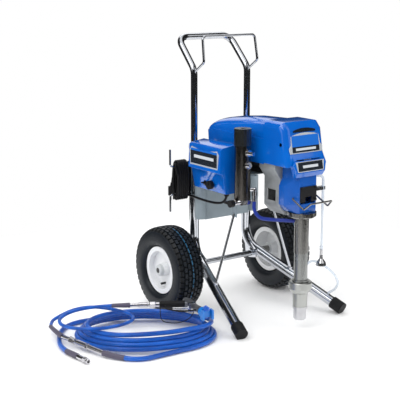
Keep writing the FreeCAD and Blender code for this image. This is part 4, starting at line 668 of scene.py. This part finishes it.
endPieces = fitting([
    cuff("tailCuff", endStart + endWay * 0.062, endStart + endWay * 0.03, endStart - endWay * 0.004, 0.0098,
         0.92),
    barrelSteps("tailFerrule", endStart + endWay * 0.062, endWay, [(0.022, 0.0086), (0.012, 0.0078)],
                platedSteel),
    hexBar("tailNut", endStart + endWay * 0.096, endWay, 0.020, 0.0102, platedSteel),
    lathe("tailMouth", endStart + endWay * 0.116, endWay,
          [(0, 0.004), (0, 0.0082), (0.005, 0.0082), (0.006, 0.0076), (0.006, 0.006), (-0.006, 0.0058),
           (-0.006, 0.002)], platedSteel)])
couplerPieces[:4] + swivelPieces
couplerPieces[4:] + endPieces
print("cords laid")

# ---- motor shroud: a domed lid over straight sides

shroud = {"half": 0.0895, "seam": -0.3397, "rear": -0.0032, "wall": 0.003, "shoulder": 0.684,
          "ledge": 0.0045, "ledgeDrop": 0.0015, "dome": 2.7, "taper": 0.03, "tail": 0.060,
          "tailDrop": 0.030, "tailInset": 0.010, "tailShoulder": 0.012,
          "topAt": (-0.3397, -0.20, -0.10, -0.0032), "top": (0.7465, 0.7405, 0.729, 0.712),
          "lowAt": (-0.3397, -0.222, -0.190, -0.0032), "low": (0.5925, 0.5925, 0.636, 0.6365)}


def shroudSection(y, inset):
    # at each y: up the left side, in over a ledge, across a superellipse dome, and down the right
    # side; over the tail a quarter circle draws the top, sides and shoulder in
    back = np.clip((y - shroud["rear"] + shroud["tail"]) / shroud["tail"], 0, 1) ** 2
    pull = 1 - np.sqrt(np.clip(1 - back, 0, 1))
    top = np.interp(y, shroud["topAt"], shroud["top"]) - shroud["tailDrop"] * pull - inset
    half = (shroud["half"] - inset - shroud["tailInset"] * pull)[:, None]
    low = np.interp(y, shroud["lowAt"], shroud["low"])[:, None]
    shoulder = (shroud["shoulder"] - shroud["tailShoulder"] * pull)[:, None]
    ledge = shoulder - shroud["ledgeDrop"]
    turn = np.linspace(np.pi, 0, 33)
    power = 2 / shroud["dome"]
    domeX = (half - shroud["ledge"]) * np.sign(np.cos(turn)) * np.abs(np.cos(turn)) ** power
    domeZ = shoulder + (top[:, None] - shoulder) * np.sin(turn) ** power
    sideShare = np.array([0, 0.35, 0.7, 0.93])
    sideX = half * (1 - shroud["taper"] * (1 - sideShare))
    sideZ = low + (shoulder - 2 * shroud["ledgeDrop"] - low) * sideShare
    x = np.concatenate([-sideX, -half, domeX, half, sideX[:, ::-1]], 1)
    z = np.concatenate([sideZ, ledge, domeZ, ledge, sideZ[:, ::-1]], 1)
    return np.stack([x, np.broadcast_to(y[:, None], x.shape), z], -1)


rows = np.concatenate([np.linspace(shroud["seam"], -0.07, 40), np.linspace(-0.066, shroud["rear"], 18)])
shroudSkins = [shroudSection(rows, 0.0), shroudSection(rows, shroud["wall"])[:, ::-1]]
shroudPoints = np.concatenate(shroudSkins, 1)[:, ::-1]
shroudPiece = gridMesh("shroudLid", shroudPoints, paints["cover_blue"], closedRows=False, smooth=24)
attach(shroudPiece, "cart")
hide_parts("motor_shroud")
print("shroud made")

# ---- tyres with a block tread

tyre = {"radius": axleHeight, "halfWidth": 0.0575, "bead": 0.090, "blockHeight": 0.0068, "blocks": 44,
        "track": 0.519, "rowEdges": (-0.053, -0.0375, -0.022, -0.0075, 0.0075, 0.022, 0.0375, 0.053),
        "grooveHalf": 0.0011, "blockEdge": 0.0026, "blockSlope": 0.0015, "widthPower": 0.62,
        "heightPower": 0.55, "treadFrom": 0.55, "treadFade": 0.12, "treadHalf": 0.0555}


def treadedTyre(name, side, node, body):
    # a closed superellipse section carried round the axle; blocks stand up from the crown where the
    # lengthwise and crosswise grooves leave them, every other row half a block on
    rowEdges = np.array(tyre["rowEdges"])
    edgeSteps = (-tyre["blockEdge"], -tyre["grooveHalf"], tyre["grooveHalf"], tyre["blockEdge"])
    cuts = np.sort(np.concatenate([rowEdges + step for step in edgeSteps]))
    outer = tyre["radius"] - tyre["blockHeight"]
    middle, half = (outer + tyre["bead"]) / 2, (outer - tyre["bead"]) / 2
    reach = np.clip(np.abs(cuts) / tyre["halfWidth"], 0, 0.985) ** (1 / tyre["widthPower"])
    section = np.concatenate([np.arcsin(np.sign(cuts) * reach), np.linspace(0.5, 1.5, 26)[1:-1] * np.pi])
    section = np.unique(np.round(section, 5))
    across = tyre["halfWidth"] * np.sign(np.sin(section)) * np.abs(np.sin(section)) ** tyre["widthPower"]
    radial = middle + half * np.sign(np.cos(section)) * np.abs(np.cos(section)) ** tyre["heightPower"]
    fractions = np.array([0, 0.07, 0.13, 0.37, 0.43, 0.5, 0.57, 0.63, 0.87, 0.93])
    share = (np.arange(tyre["blocks"])[:, None] + fractions).ravel()
    row = np.searchsorted(rowEdges, across)
    fromEdge = np.abs(across[None, :] - rowEdges[:, None]).min(0)
    lengthwise = np.clip((fromEdge - tyre["grooveHalf"]) / tyre["blockSlope"], 0, 1)
    phase = (share[:, None] + 0.5 * (row % 2)[None, :]) % 1
    crosswise = np.clip((np.minimum(phase, 1 - phase) - 0.07) / 0.06, 0, 1)
    onCrown = np.clip((radial - middle - half * tyre["treadFrom"]) / (half * tyre["treadFade"]), 0, 1)
    onCrown = onCrown * (np.abs(across) < tyre["treadHalf"])
    lift = tyre["blockHeight"] * (lengthwise * onCrown)[None, :] * crosswise
    turn = 2 * np.pi * share / tyre["blocks"]
    radius = radial[None, :] + lift
    points = np.stack([np.broadcast_to(across * side, radius.shape) + side * tyre["track"] / 2,
                       radius * np.cos(turn)[:, None], radius * np.sin(turn)[:, None] + tyre["radius"]], -1)
    if side < 0:
        points = points[:, ::-1]
    piece = gridMesh(name, points, paints["tyre"], smooth=28)
    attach(piece, body)
    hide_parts(node)


treadedTyre("tyreLeft", -1, "wheel_left_tyre", "wheel_left")
treadedTyre("tyreRight", 1, "wheel_right_tyre", "wheel_right")
print("tyres made")

# ---- floor

floorFinish = Finish("floorPaper", studio["floorColour"], studio["floorRoughness"])
floorCorners = [(-1, -1), (1, -1), (1, 1), (-1, 1)]
floorPoints = [(x * studio["floorHalf"], y * studio["floorHalf"], studio["floorTop"])
               for x, y in floorCorners]
floorMesh = bpy.data.meshes.new("floor")
floorMesh.from_pydata(floorPoints, [], [(0, 1, 2, 3)])
floorMesh.materials.append(floorFinish.material)
floor = addObject("floor", floorMesh)

# the paper background is even; what the bright metal mirrors has soft boxes and dark gaps between them
sky = bpy.data.worlds.new("sky")
sky.use_nodes = True
skyTree = sky.node_tree


def skyNode(kind, settings, inputs, out=0):
    made = skyTree.nodes.new("ShaderNode" + kind)
    for key, setting in settings.items():
        setattr(made, key, setting)
    for key, item in inputs.items():
        if hasattr(item, "is_output"):
            skyTree.links.new(item, made.inputs[key])
        else:
            made.inputs[key].default_value = item
    return made.outputs[out]


def softBox(azimuth, elevation, inner, outer):
    # one inside a cone round a direction, fading to zero at its outer edge
    turn, lift = math.radians(azimuth), math.radians(elevation)
    way = (math.sin(turn) * math.cos(lift), -math.cos(turn) * math.cos(lift), math.sin(lift))
    facing = skyNode("VectorMath", {"operation": "DOT_PRODUCT"}, {0: skyWay, 1: way}, "Value")
    return skyNode("MapRange", {"interpolation_type": "SMOOTHSTEP"},
                   {0: facing, 1: math.cos(math.radians(outer)), 2: math.cos(math.radians(inner)), 3: 0.0,
                    4: 1.0})


skyWay = skyNode("TexCoord", {}, {}, "Generated")
boxes = [softBox(*place) for place in studio["softBoxes"]]
shine = boxes[0]
for box in boxes[1:]:
    shine = skyNode("Math", {"operation": "MAXIMUM"}, {0: shine, 1: box})
mirrored = skyNode("MapRange", {}, {0: shine, 1: 0.0, 2: 1.0, 3: studio["darkGap"], 4: studio["boxGlow"]})
glossy = skyNode("LightPath", {}, {}, "Is Glossy Ray")
seen = skyNode("LightPath", {}, {}, "Is Camera Ray")
strength = skyNode("Mix", {"data_type": "FLOAT"}, {0: glossy, 2: studio["skyStrength"], 3: mirrored})
strength = skyNode("Mix", {"data_type": "FLOAT"}, {0: seen, 2: strength, 3: studio["paper"]})
skyTree.links.new(strength, skyTree.nodes["Background"].inputs["Strength"])
skyTree.nodes["Background"].inputs["Color"].default_value = (1, 1, 1, 1)
bpy.context.scene.world = sky
bpy.context.scene.view_settings.view_transform = "Standard"
